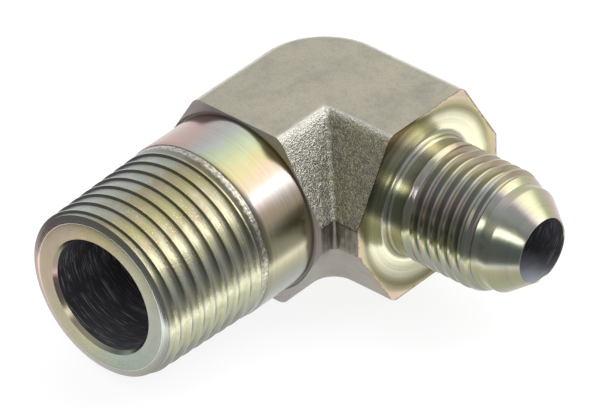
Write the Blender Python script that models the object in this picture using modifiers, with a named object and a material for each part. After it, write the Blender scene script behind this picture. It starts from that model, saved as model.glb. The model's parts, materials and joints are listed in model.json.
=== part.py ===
"""Forged 90 degree elbow adapter, tapered pipe thread to 37 degree flare.

One piece of steel. A drop-forged elbow of hexagonal section carries two turned ends: a
1/2-14 tapered pipe thread along +X and a 9/16-18 straight thread with a flare nose along
+Y. The origin is on the lower forged flat, under the point where the two bores cross.
Radii and lengths are measured from that crossing, in a frame that stands at bore height.
"""

import math

import bmesh
import bpy

MM = 0.001

# Forged body
FLAT_HALF_HEIGHT = 11.1 * MM
FLAT_HALF_WIDTH = 6.15 * MM
DRAFT_ANGLE = math.radians(31.0)
TRIM_HALF_WIDTH = 11.8 * MM
OUTER_CORNER_RADIUS = 8.0 * MM
INNER_CORNER_RADIUS = 1.5 * MM
TRIM_CORNER_RADIUS = 0.3 * MM
FORGED_EDGE_RADIUS = 0.6 * MM

# Pipe end: collar, shoulder and bore
PIPE_REACH = 36.5 * MM
PIPE_SHOULDER = 13.8 * MM
PIPE_SHOULDER_RADIUS = 11.95 * MM
COLLAR_RADIUS = 10.67 * MM
COLLAR_GROOVE_DEPTH = 0.22 * MM
COLLAR_GROOVE_WIDTH = 0.5 * MM
COLLAR_EDGE_CHAMFER = 0.35 * MM
PIPE_BORE_RADIUS = 6.65 * MM
PIPE_BORE_DEPTH_PAST_CROSSING = 4.4 * MM
PIPE_BORE_RIM_CHAMFER = 0.25 * MM

# Pipe thread: 14 turns an inch, tapered 1 in 16 on the diameter
PIPE_THREAD_END = 21.2 * MM
PIPE_THREAD_PITCH = 25.4 / 14 * MM
PIPE_THREAD_MAJOR_RADIUS = 10.6 * MM
PIPE_THREAD_TAPER = 1 / 32
PIPE_THREAD_CREST_FLAT = 0.24 * MM
PIPE_THREAD_ROOT_FLAT = 0.2 * MM
PIPE_THREAD_RUNOUT = 1.3 * MM
PIPE_FACE_RADIUS = 8.87 * MM
PIPE_CHAMFER_DEPTH = 0.85 * MM

# Flare end: shoulder, neck, nose and bore
FLARE_REACH = 31.25 * MM
FLARE_SHOULDER = 15.1 * MM
FLARE_SHOULDER_RADIUS = 12.15 * MM
FLARE_DISH_RADIUS = 10.4 * MM
FLARE_DISH_DEPTH = 0.3 * MM
NECK_RADIUS = 6.95 * MM
NECK_FILLET_RADIUS = 0.9 * MM
NOSE_RADIUS = 6.1 * MM
FLARE_CONE_LENGTH = 2.92 * MM
NOSE_BLEND_RADIUS = 0.35 * MM
FLARE_ANGLE = math.radians(37.0)
FLARE_BORE_RADIUS = 3.75 * MM

# Flare thread: 18 turns an inch, straight
FLARE_THREAD_START = 17.3 * MM
FLARE_THREAD_SETBACK = 6.2 * MM
FLARE_THREAD_LEAD_IN = 0.21 * MM
FLARE_THREAD_PITCH = 25.4 / 18 * MM
FLARE_THREAD_MAJOR_RADIUS = 7.1 * MM
FLARE_THREAD_CREST_FLAT = 0.2 * MM
FLARE_THREAD_ROOT_FLAT = 0.22 * MM
FLARE_THREAD_RUNOUT = 1.2 * MM
THREAD_ROUNDING_LENGTH = 2.0 * MM
THREAD_ROUNDING_POWER = 1.8

# Forms common to both ends
SHOULDER_CHAMFER_ANGLE = math.radians(30.0)
SHOULDER_TOOL_CLEARANCE = 0.15 * MM
THREAD_FLANK_ANGLE = math.radians(30.0)
DRILL_POINT_HALF_ANGLE = math.radians(59.0)

# How far one shape runs into or past its neighbour before they are joined or cut
OVERLAP = 1.0 * MM
MERGE_DISTANCE = 0.001 * MM

# Facets
TURNED_STEPS = 64
PIPE_THREAD_STEPS = 48
FLARE_THREAD_STEPS = 40
OUTER_CORNER_STEPS = 14
INNER_CORNER_STEPS = 5
BLEND_STEPS = 4
FORGED_EDGE_SEGMENTS = 2

SHARP_EDGE_ANGLE = math.radians(28.0)

STEEL_COLOUR = (0.50, 0.46, 0.34, 1.0)
STEEL_ROUGHNESS = 0.34
STEEL_METALLIC = 1.0


def clear_objects():
    """Remove whatever the file holds."""
    for old in list(bpy.data.objects):
        bpy.data.objects.remove(old, do_unlink=True)


def new_collection(name):
    """Return a new collection linked to the scene."""
    collection = bpy.data.collections.new(name)
    bpy.context.scene.collection.children.link(collection)
    return collection


def plated_steel():
    """Return the yellow zinc plated steel of the whole piece."""
    material = bpy.data.materials.new("plated_steel")
    material.use_nodes = True
    shader = material.node_tree.nodes["Principled BSDF"]
    shader.inputs["Base Color"].default_value = STEEL_COLOUR
    shader.inputs["Roughness"].default_value = STEEL_ROUGHNESS
    shader.inputs["Metallic"].default_value = STEEL_METALLIC
    return material


def add_object(name, mesh, collection, frame, turn):
    """Place a mesh in the bore frame, turned from its own Z axis to the axis it is made on."""
    item = bpy.data.objects.new(name, mesh)
    item.parent = frame
    item.rotation_euler = turn
    collection.objects.link(item)
    return item


def add_boolean(item, operation, other):
    """Join, cut or trim an object with another one, and weld the points that then coincide."""
    boolean = item.modifiers.new(f"{operation.lower()} {other.name}", "BOOLEAN")
    boolean.operation = operation
    boolean.solver = "EXACT"
    boolean.object = other
    weld = item.modifiers.new(f"weld after {other.name}", "WELD")
    weld.merge_threshold = MERGE_DISTANCE


def add_smooth_shading(item):
    """Shade an object smooth, with every edge sharper than SHARP_EDGE_ANGLE left crisp."""
    group = bpy.data.node_groups.new("smooth_by_angle", "GeometryNodeTree")
    group.interface.new_socket("Geometry", in_out="INPUT", socket_type="NodeSocketGeometry")
    group.interface.new_socket("Geometry", in_out="OUTPUT", socket_type="NodeSocketGeometry")
    source = group.nodes.new("NodeGroupInput")
    result = group.nodes.new("NodeGroupOutput")
    angle = group.nodes.new("GeometryNodeInputMeshEdgeAngle")
    gentle = group.nodes.new("FunctionNodeCompare")
    gentle.operation = "LESS_EQUAL"
    gentle.inputs["B"].default_value = SHARP_EDGE_ANGLE
    smooth_faces = group.nodes.new("GeometryNodeSetShadeSmooth")
    smooth_edges = group.nodes.new("GeometryNodeSetShadeSmooth")
    smooth_edges.domain = "EDGE"
    group.links.new(source.outputs["Geometry"], smooth_faces.inputs["Geometry"])
    group.links.new(smooth_faces.outputs["Geometry"], smooth_edges.inputs["Geometry"])
    group.links.new(angle.outputs["Unsigned Angle"], gentle.inputs["A"])
    group.links.new(gentle.outputs["Result"], smooth_edges.inputs["Shade Smooth"])
    group.links.new(smooth_edges.outputs["Geometry"], result.inputs["Geometry"])
    modifier = item.modifiers.new("smooth by angle", "NODES")
    modifier.node_group = group


def arc(centre, radius, start, end, steps):
    """Return the points of an arc from one angle to another, both included."""
    points = []
    for index in range(steps + 1):
        angle = start + (end - start) * index / steps
        points.append((centre[0] + radius * math.cos(angle), centre[1] + radius * math.sin(angle)))
    return points


# Forged body

def elbow_outline(half_width, outer_radius, inner_radius, pipe_length, flare_length):
    """Return the plan of the elbow, anticlockwise, with both of its corners rounded."""
    inner = half_width + inner_radius
    outer = outer_radius - half_width
    points = [(pipe_length, -half_width), (pipe_length, half_width)]
    points += arc((inner, inner), inner_radius, 1.5 * math.pi, math.pi, INNER_CORNER_STEPS)
    points += [(half_width, flare_length), (-half_width, flare_length)]
    points += arc((outer, outer), outer_radius, math.pi, 1.5 * math.pi, OUTER_CORNER_STEPS)
    return points


def loft(levels):
    """Return a mesh lofted through outlines of equal count, given as (height, points)."""
    bm = bmesh.new()
    rings = [[bm.verts.new((x, y, height)) for x, y in outline] for height, outline in levels]
    for lower, upper in zip(rings, rings[1:]):
        for index in range(len(lower)):
            after = (index + 1) % len(lower)
            bm.faces.new((lower[index], lower[after], upper[after], upper[index]))
    bm.faces.new(list(reversed(rings[0])))
    bm.faces.new(rings[-1])
    return bm


def forging_mesh():
    """Return the elbow as forged: two flats, and flanks drafted out to the parting plane."""
    spread = FLAT_HALF_HEIGHT * math.tan(DRAFT_ANGLE)
    pipe_length = PIPE_SHOULDER + OVERLAP
    flare_length = FLARE_SHOULDER + OVERLAP
    flat = elbow_outline(FLAT_HALF_WIDTH, OUTER_CORNER_RADIUS, INNER_CORNER_RADIUS, pipe_length, flare_length)
    parting = elbow_outline(
        FLAT_HALF_WIDTH + spread, OUTER_CORNER_RADIUS + spread, INNER_CORNER_RADIUS, pipe_length, flare_length
    )
    bm = loft([(-FLAT_HALF_HEIGHT, flat), (0.0, parting), (FLAT_HALF_HEIGHT, flat)])
    weights = bm.edges.layers.float.new("bevel_weight_edge")
    for edge in bm.edges:
        on_a_flat = all(abs(abs(vertex.co.z) - FLAT_HALF_HEIGHT) < MERGE_DISTANCE for vertex in edge.verts)
        across_an_end = all(
            vertex.co.x > pipe_length - MERGE_DISTANCE or vertex.co.y > flare_length - MERGE_DISTANCE
            for vertex in edge.verts
        )
        edge[weights] = 1.0 if on_a_flat and not across_an_end else 0.0
    mesh = bpy.data.meshes.new("forging")
    bm.to_mesh(mesh)
    bm.free()
    return mesh


def trim_die_mesh():
    """Return the prism that the trimming die leaves, which squares off the parting line."""
    outer_radius = OUTER_CORNER_RADIUS + TRIM_HALF_WIDTH - FLAT_HALF_WIDTH
    outline = elbow_outline(
        TRIM_HALF_WIDTH,
        outer_radius,
        TRIM_CORNER_RADIUS,
        PIPE_SHOULDER + 2 * OVERLAP,
        FLARE_SHOULDER + 2 * OVERLAP,
    )
    height = FLAT_HALF_HEIGHT + OVERLAP
    bm = loft([(-height, outline), (height, outline)])
    mesh = bpy.data.meshes.new("trim_die")
    bm.to_mesh(mesh)
    bm.free()
    return mesh


# Turned shapes

def turned_mesh(name, profile):
    """Return a mesh of a half outline, given from its outer end down to its inner end.

    Each point is (distance along the axis, radius). The ends are on the axis.
    """
    mesh = bpy.data.meshes.new(name)
    points = [(radius, 0.0, distance) for distance, radius in profile]
    edges = [(index, index + 1) for index in range(len(points) - 1)]
    mesh.from_pydata(points, edges, [])
    return mesh


def add_turning(item):
    """Turn the half outline of an object into a closed round solid."""
    screw = item.modifiers.new("turning", "SCREW")
    screw.axis = "Z"
    screw.angle = 2 * math.pi
    screw.steps = TURNED_STEPS
    screw.render_steps = TURNED_STEPS
    screw.use_merge_vertices = True
    screw.merge_threshold = MERGE_DISTANCE
    screw.use_smooth_shade = True


def section_radius():
    """Return the radius of the circle that just clears every corner of the forged section."""
    parting_half_width = FLAT_HALF_WIDTH + FLAT_HALF_HEIGHT * math.tan(DRAFT_ANGLE)
    band_half_height = max(0.0, (parting_half_width - TRIM_HALF_WIDTH) / math.tan(DRAFT_ANGLE))
    flat_corner = math.hypot(FLAT_HALF_WIDTH, FLAT_HALF_HEIGHT)
    band_corner = math.hypot(min(TRIM_HALF_WIDTH, parting_half_width), band_half_height)
    return max(flat_corner, band_corner)


def shoulder_tool_profile(shoulder, chamfer_radius, chamfer_angle, face):
    """Return the waste past a shoulder, with the chamfer that tops the section's corners.

    The tool is no wider than the section, so that it clears the other arm.
    """
    clear = max(section_radius(), chamfer_radius) + SHOULDER_TOOL_CLEARANCE
    back = shoulder - (clear - chamfer_radius) * math.tan(chamfer_angle)
    far = shoulder + 3 * OVERLAP
    return [(far, 0.0), (far, clear), (back, clear), (shoulder, chamfer_radius), *face]


def pipe_shoulder_tool_profile():
    """Return the waste past the pipe-end shoulder."""
    face = [(PIPE_SHOULDER, 0.0)]
    return shoulder_tool_profile(PIPE_SHOULDER, PIPE_SHOULDER_RADIUS, SHOULDER_CHAMFER_ANGLE, face)


def flare_shoulder_tool_profile():
    """Return the waste past the flare-end shoulder, which dishes the face round the neck."""
    dish_floor = FLARE_SHOULDER - FLARE_DISH_DEPTH
    face = [
        (FLARE_SHOULDER, FLARE_DISH_RADIUS),
        (dish_floor, NECK_RADIUS + NECK_FILLET_RADIUS),
        (dish_floor, 0.0),
    ]
    return shoulder_tool_profile(FLARE_SHOULDER, FLARE_SHOULDER_RADIUS, SHOULDER_CHAMFER_ANGLE, face)


def pipe_core_profile():
    """Return the collar of the pipe end, its foot groove and the core that the thread sits on."""
    core_radius = (PIPE_BORE_RADIUS + PIPE_FACE_RADIUS) / 2
    groove_radius = COLLAR_RADIUS - COLLAR_GROOVE_DEPTH
    return [
        (PIPE_THREAD_END + OVERLAP, 0.0),
        (PIPE_THREAD_END + OVERLAP, core_radius),
        (PIPE_THREAD_END, core_radius),
        (PIPE_THREAD_END, COLLAR_RADIUS - COLLAR_EDGE_CHAMFER),
        (PIPE_THREAD_END - COLLAR_EDGE_CHAMFER, COLLAR_RADIUS),
        (PIPE_SHOULDER + COLLAR_GROOVE_WIDTH, COLLAR_RADIUS),
        (PIPE_SHOULDER + COLLAR_GROOVE_WIDTH / 2, groove_radius),
        (PIPE_BORE_RADIUS, groove_radius),
        (PIPE_BORE_RADIUS, 0.0),
    ]


def pipe_chamfer_profile():
    """Return the turned blank that bevels the first turns of the pipe thread."""
    clear = PIPE_THREAD_MAJOR_RADIUS + OVERLAP
    slope = (PIPE_THREAD_MAJOR_RADIUS - PIPE_FACE_RADIUS) / PIPE_CHAMFER_DEPTH
    beyond = PIPE_REACH + OVERLAP / slope
    inner_end = PIPE_THREAD_END - OVERLAP
    return [
        (beyond, 0.0),
        (beyond, PIPE_FACE_RADIUS - OVERLAP),
        (PIPE_REACH - (clear - PIPE_FACE_RADIUS) / slope, clear),
        (inner_end, clear),
        (inner_end, 0.0),
    ]


def flare_thread_end():
    """Return where the full flare thread ends, which keeps its distance from the tip."""
    return FLARE_REACH - FLARE_THREAD_SETBACK


def flare_core_profile():
    """Return the neck, the nose and the flare cone of the tube end."""
    fillet_foot = FLARE_SHOULDER - FLARE_DISH_DEPTH
    fillet = arc(
        (fillet_foot + NECK_FILLET_RADIUS, NECK_RADIUS + NECK_FILLET_RADIUS),
        NECK_FILLET_RADIUS,
        1.5 * math.pi,
        math.pi,
        BLEND_STEPS,
    )
    nose_shoulder = FLARE_REACH - FLARE_CONE_LENGTH
    blend_length = NOSE_BLEND_RADIUS * math.tan(FLARE_ANGLE / 2)
    blend = arc(
        (nose_shoulder - blend_length, NOSE_RADIUS - NOSE_BLEND_RADIUS),
        NOSE_BLEND_RADIUS,
        math.pi / 2 - FLARE_ANGLE,
        math.pi / 2,
        BLEND_STEPS,
    )
    tip_radius = NOSE_RADIUS - FLARE_CONE_LENGTH * math.tan(FLARE_ANGLE)
    thread_core = FLARE_THREAD_MAJOR_RADIUS - thread_depth(
        FLARE_THREAD_PITCH, FLARE_THREAD_CREST_FLAT, FLARE_THREAD_ROOT_FLAT
    )
    core_radius = (FLARE_BORE_RADIUS + min(thread_core, NOSE_RADIUS)) / 2
    nose_root = flare_thread_end() + THREAD_ROUNDING_LENGTH
    neck_end = FLARE_THREAD_START + (FLARE_THREAD_MAJOR_RADIUS - NECK_RADIUS) / 2
    return [
        (FLARE_REACH, 0.0),
        (FLARE_REACH, tip_radius),
        *blend,
        (nose_root - OVERLAP, NOSE_RADIUS),
        (nose_root - OVERLAP, core_radius),
        (neck_end, core_radius),
        (neck_end, NECK_RADIUS),
        *fillet,
        (fillet_foot - OVERLAP, NECK_RADIUS + NECK_FILLET_RADIUS),
        (FLARE_BORE_RADIUS + OVERLAP, NECK_RADIUS),
        (FLARE_BORE_RADIUS + OVERLAP, 0.0),
    ]


def flare_chamfer_profile():
    """Return the turned blank that rounds the outer end of the flare thread and bevels its start."""
    clear = FLARE_THREAD_MAJOR_RADIUS + OVERLAP
    drop = FLARE_THREAD_MAJOR_RADIUS - NOSE_RADIUS
    thread_end = flare_thread_end()
    nose_root = thread_end + THREAD_ROUNDING_LENGTH
    rounding = []
    for index in range(BLEND_STEPS + 1):
        share = 1 - index / BLEND_STEPS
        distance = thread_end + THREAD_ROUNDING_LENGTH * share
        rounding.append((distance, FLARE_THREAD_MAJOR_RADIUS - drop * share ** THREAD_ROUNDING_POWER))
    return [
        (nose_root + OVERLAP, 0.0),
        (nose_root + OVERLAP, NOSE_RADIUS - OVERLAP),
        *rounding,
        (thread_end - OVERLAP, clear),
        (FLARE_THREAD_START + clear - NECK_RADIUS, clear),
        (FLARE_THREAD_START - OVERLAP, NECK_RADIUS - OVERLAP),
        (FLARE_THREAD_START - OVERLAP, 0.0),
    ]


def drill_profile(reach, radius, depth_past_crossing, rim_chamfer):
    """Return a drill: a straight bore with a chamfered mouth and a conical point."""
    beyond = reach + OVERLAP
    point = radius / math.tan(DRILL_POINT_HALF_ANGLE)
    return [
        (beyond, 0.0),
        (beyond, radius + rim_chamfer + OVERLAP),
        (reach - rim_chamfer, radius),
        (-depth_past_crossing, radius),
        (-depth_past_crossing - point, 0.0),
    ]


# Threads

def thread_depth(pitch, crest_flat, root_flat):
    """Return the depth that 60 degree flanks leave between the two flats of a thread."""
    return (pitch - crest_flat - root_flat) / 2 / math.tan(THREAD_FLANK_ANGLE)


def thread_rod_mesh(name, start, end, pitch, major_radius, taper, crest_flat, root_flat, runout, steps):
    """Return a closed right-handed threaded rod along Z, from one flat end to the other.

    The major radius is the one at the start, and it shrinks by taper for each unit of length.
    The groove fades out towards the start over the runout. Each column of vertices follows
    the thread's section, and the next column is shifted along by its share of the pitch.
    """
    depth = thread_depth(pitch, crest_flat, root_flat)
    flank = (pitch - crest_flat - root_flat) / 2
    corners = [0.0, crest_flat, crest_flat + flank, crest_flat + flank + root_flat]
    drops = [0.0, 0.0, depth, depth]

    def drop_at(distance):
        """Return how deep the section is at a distance along one pitch."""
        place = distance % pitch
        stations = corners + [pitch]
        depths = drops + [0.0]
        for left, right, first, last in zip(stations, stations[1:], depths, depths[1:]):
            if place <= right:
                return first + (last - first) * (place - left) / (right - left)
        return 0.0

    turns = math.ceil((end - start) / pitch) + 2
    bm = bmesh.new()
    columns = []
    for step in range(steps):
        angle = 2 * math.pi * step / steps
        lead = pitch * step / steps
        column = []
        for turn in range(-2, turns):
            for corner in corners:
                height = min(max(start + turn * pitch + corner + lead, start), end)
                fade = min(1.0, (height - start) / runout)
                radius = major_radius - taper * (height - start) - fade * drop_at(height - start - lead)
                column.append(bm.verts.new((radius * math.cos(angle), radius * math.sin(angle), height)))
        columns.append(column)

    count = len(columns[0])
    shift = len(corners)
    for step in range(steps):
        here = columns[step]
        beyond = columns[(step + 1) % steps]
        offset = shift if step == steps - 1 else 0
        for index in range(count - 1):
            low = min(index + offset, count - 1)
            high = min(index + offset + 1, count - 1)
            corners_of_face = [here[index], beyond[low], beyond[high], here[index + 1]]
            face = list(dict.fromkeys(corners_of_face))
            if len(face) > 2:
                bm.faces.new(face)
    bmesh.ops.remove_doubles(bm, verts=bm.verts, dist=MERGE_DISTANCE)
    rims = [edge for edge in bm.edges if edge.is_boundary]
    bmesh.ops.holes_fill(bm, edges=rims, sides=0)
    bmesh.ops.recalc_face_normals(bm, faces=bm.faces)
    mesh = bpy.data.meshes.new(name)
    bm.to_mesh(mesh)
    bm.free()
    return mesh


def build():
    """Build the elbow adapter."""
    clear_objects()
    parts = new_collection("hydraulic_elbow_adapter")
    cutters = new_collection("cutters")
    steel = plated_steel()

    bore_frame = bpy.data.objects.new("bore_frame", None)
    bore_frame.location = (0.0, 0.0, FLAT_HALF_HEIGHT)
    parts.objects.link(bore_frame)

    upright = (0.0, 0.0, 0.0)
    along_x = (0.0, math.pi / 2, 0.0)
    along_y = (-math.pi / 2, 0.0, 0.0)

    def add_helper(name, mesh, turn):
        """Add a shape that joins, cuts or trims the body."""
        helper = add_object(name, mesh, cutters, bore_frame, turn)
        helper.hide_render = True
        helper.display_type = "WIRE"
        return helper

    def add_turned_helper(name, profile, turn):
        """Add a helper turned from its half outline."""
        helper = add_helper(name, turned_mesh(name, profile), turn)
        add_turning(helper)
        return helper

    trim_die = add_helper("trim_die", trim_die_mesh(), upright)
    pipe_shoulder_tool = add_turned_helper("pipe_shoulder_tool", pipe_shoulder_tool_profile(), along_x)
    flare_shoulder_tool = add_turned_helper("flare_shoulder_tool", flare_shoulder_tool_profile(), along_y)
    pipe_core = add_turned_helper("pipe_core", pipe_core_profile(), along_x)
    pipe_chamfer = add_turned_helper("pipe_chamfer", pipe_chamfer_profile(), along_x)
    flare_core = add_turned_helper("flare_core", flare_core_profile(), along_y)
    flare_chamfer = add_turned_helper("flare_chamfer", flare_chamfer_profile(), along_y)

    pipe_thread = add_helper(
        "pipe_thread",
        thread_rod_mesh(
            "pipe_thread",
            PIPE_THREAD_END - COLLAR_EDGE_CHAMFER,
            PIPE_REACH,
            PIPE_THREAD_PITCH,
            PIPE_THREAD_MAJOR_RADIUS,
            PIPE_THREAD_TAPER,
            PIPE_THREAD_CREST_FLAT,
            PIPE_THREAD_ROOT_FLAT,
            PIPE_THREAD_RUNOUT,
            PIPE_THREAD_STEPS,
        ),
        along_x,
    )
    add_boolean(pipe_thread, "INTERSECT", pipe_chamfer)
    add_boolean(pipe_core, "UNION", pipe_thread)

    flare_thread = add_helper(
        "flare_thread",
        thread_rod_mesh(
            "flare_thread",
            FLARE_THREAD_START - FLARE_THREAD_LEAD_IN,
            flare_thread_end() + THREAD_ROUNDING_LENGTH,
            FLARE_THREAD_PITCH,
            FLARE_THREAD_MAJOR_RADIUS,
            0.0,
            FLARE_THREAD_CREST_FLAT,
            FLARE_THREAD_ROOT_FLAT,
            FLARE_THREAD_RUNOUT,
            FLARE_THREAD_STEPS,
        ),
        along_y,
    )
    add_boolean(flare_thread, "INTERSECT", flare_chamfer)
    add_boolean(flare_core, "UNION", flare_thread)

    pipe_drill = add_turned_helper(
        "pipe_drill",
        drill_profile(PIPE_REACH, PIPE_BORE_RADIUS, PIPE_BORE_DEPTH_PAST_CROSSING, PIPE_BORE_RIM_CHAMFER),
        along_x,
    )
    flare_drill = add_turned_helper(
        "flare_drill",
        drill_profile(FLARE_REACH, FLARE_BORE_RADIUS, 0.0, 0.0),
        along_y,
    )

    body = add_object("elbow_body", forging_mesh(), parts, bore_frame, upright)
    body.data.materials.append(steel)
    edges = body.modifiers.new("forged edges", "BEVEL")
    edges.limit_method = "WEIGHT"
    edges.width = FORGED_EDGE_RADIUS
    edges.segments = FORGED_EDGE_SEGMENTS
    add_boolean(body, "INTERSECT", trim_die)
    add_boolean(body, "DIFFERENCE", pipe_shoulder_tool)
    add_boolean(body, "DIFFERENCE", flare_shoulder_tool)
    add_boolean(body, "UNION", pipe_core)
    add_boolean(body, "UNION", flare_core)
    add_boolean(body, "DIFFERENCE", pipe_drill)
    add_boolean(body, "DIFFERENCE", flare_drill)
    add_smooth_shading(body)


if __name__ == "__main__":
    build()
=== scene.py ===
"""Dressed model of a forged 90 degree hydraulic elbow adapter in yellow zinc plated steel.

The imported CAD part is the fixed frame. One closed mesh takes the place of its single node:
a drop-forged elbow of hexagonal section with a turned tapered pipe thread along +X and a
turned flare end along +Y. Lengths are in metres, and distances along an arm are measured
from the point where the two bores cross.
"""

from __future__ import annotations

import json
import logging
import math
from abc import ABC, abstractmethod
from collections.abc import Sequence
from dataclasses import dataclass
from enum import Enum

import bmesh
import bpy
from mathutils import Matrix, Vector, noise

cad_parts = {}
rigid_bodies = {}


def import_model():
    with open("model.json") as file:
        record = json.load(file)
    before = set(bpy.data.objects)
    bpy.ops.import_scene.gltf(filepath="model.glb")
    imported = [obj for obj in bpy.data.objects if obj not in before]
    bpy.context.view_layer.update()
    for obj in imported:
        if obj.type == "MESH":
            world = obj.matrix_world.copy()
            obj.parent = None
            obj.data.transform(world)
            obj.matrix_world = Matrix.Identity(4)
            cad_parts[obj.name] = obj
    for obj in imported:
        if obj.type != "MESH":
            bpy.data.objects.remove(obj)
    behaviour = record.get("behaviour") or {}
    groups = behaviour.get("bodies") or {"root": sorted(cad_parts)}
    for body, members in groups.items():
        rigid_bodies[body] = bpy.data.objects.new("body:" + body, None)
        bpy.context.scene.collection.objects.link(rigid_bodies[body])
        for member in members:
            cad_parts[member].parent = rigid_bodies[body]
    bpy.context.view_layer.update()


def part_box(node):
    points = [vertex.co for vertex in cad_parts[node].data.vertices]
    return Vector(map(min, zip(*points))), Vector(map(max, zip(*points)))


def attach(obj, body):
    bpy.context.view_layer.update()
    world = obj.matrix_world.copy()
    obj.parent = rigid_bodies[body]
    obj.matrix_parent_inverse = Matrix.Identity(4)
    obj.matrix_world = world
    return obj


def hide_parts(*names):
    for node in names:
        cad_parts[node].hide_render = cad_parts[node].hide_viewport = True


LOG = logging.getLogger("elbow_adapter")

MM = 0.001
CAD_NODE = "elbow_body"
CAD_BODY = "root"

WELD_DISTANCE = 0.0005 * MM
OVERLAP = 1.0 * MM
SHARP_EDGE = math.radians(33.0)

Colour = tuple[float, float, float]
Point = tuple[float, float]


class Film(Enum):
    """The colours that the yellow passivation takes with its thickness, and the steel below it, and a
    cream for painted highlights.
    """

    PINK = (0.40, 0.28, 0.255)
    LILAC = (0.36, 0.325, 0.315)
    BLUE_GREY = (0.35, 0.37, 0.345)
    GREEN = (0.33, 0.37, 0.26)
    LIME = (0.33, 0.34, 0.205)
    GOLD = (0.34, 0.30, 0.165)
    PEACH = (0.35, 0.285, 0.205)
    TAN = (0.29, 0.255, 0.165)
    STRAW = (0.36, 0.34, 0.23)
    STEEL = (0.31, 0.32, 0.27)
    OLIVE = (0.25, 0.235, 0.12)
    TEAL = (0.27, 0.32, 0.265)
    SMOKE = (0.13, 0.135, 0.14)
    # Cream is only used as a painted highlight.
    CREAM_HIGHLIGHT = (0.60, 0.59, 0.42)


Stops = tuple[tuple[float, Film], ...]
Tones = tuple[tuple[float, Colour], ...]


# Arms and frame


class Arm(Enum):
    """The two arms of the elbow, each named for what is cut on it."""

    PIPE = "pipe"
    FLARE = "flare"

    def placement(self, bore_height: float) -> Matrix:
        """Return the matrix that lays a shape made along Z on the arm's own axis.

        Args:
            bore_height: Height of both bores above the lower flat.

        Returns:
            The matrix from the lathe's frame to the part's frame.
        """
        if self is Arm.PIPE:
            turn = Matrix.Rotation(math.pi / 2, 4, "Y")
        else:
            turn = Matrix.Rotation(-math.pi / 2, 4, "X")
        return Matrix.Translation((0.0, 0.0, bore_height)) @ turn


@dataclass(frozen=True)
class CadFrame:
    """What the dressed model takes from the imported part."""

    bore_height: float
    pipe_reach: float
    flare_reach: float
    trim_half_width: float

    @classmethod
    def read(cls) -> CadFrame:
        """Read the sizes from the box of the CAD node."""
        low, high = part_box(CAD_NODE)
        return cls(
            bore_height=(low.z + high.z) / 2,
            pipe_reach=high.x,
            flare_reach=high.y,
            trim_half_width=-low.x,
        )


# Node trees


@dataclass(frozen=True)
class Field:
    """A value that a node puts out, with arithmetic that adds Math nodes."""

    graph: Graph
    socket: bpy.types.NodeSocket

    def __add__(self, other: Operand) -> Field:
        """Add."""
        return self.graph.math("ADD", self, other)

    def __sub__(self, other: Operand) -> Field:
        """Subtract."""
        return self.graph.math("SUBTRACT", self, other)

    def __rsub__(self, other: Operand) -> Field:
        """Subtract this from a number."""
        return self.graph.math("SUBTRACT", other, self)

    def __mul__(self, other: Operand) -> Field:
        """Multiply."""
        return self.graph.math("MULTIPLY", self, other)

    def __truediv__(self, other: Operand) -> Field:
        """Divide."""
        return self.graph.math("DIVIDE", self, other)

    __radd__ = __add__
    __rmul__ = __mul__

    def clamped(self) -> Field:
        """Keep the value between 0 and 1."""
        return self.graph.math("ADD", self, 0.0, clamp=True)

    def step(self, low: Operand, high: Operand) -> Field:
        """Return a smooth step from 0 at low to 1 at high, which may be the lower number."""
        return self.graph.smooth_step(self, low, high)


Operand = Field | float


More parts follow.
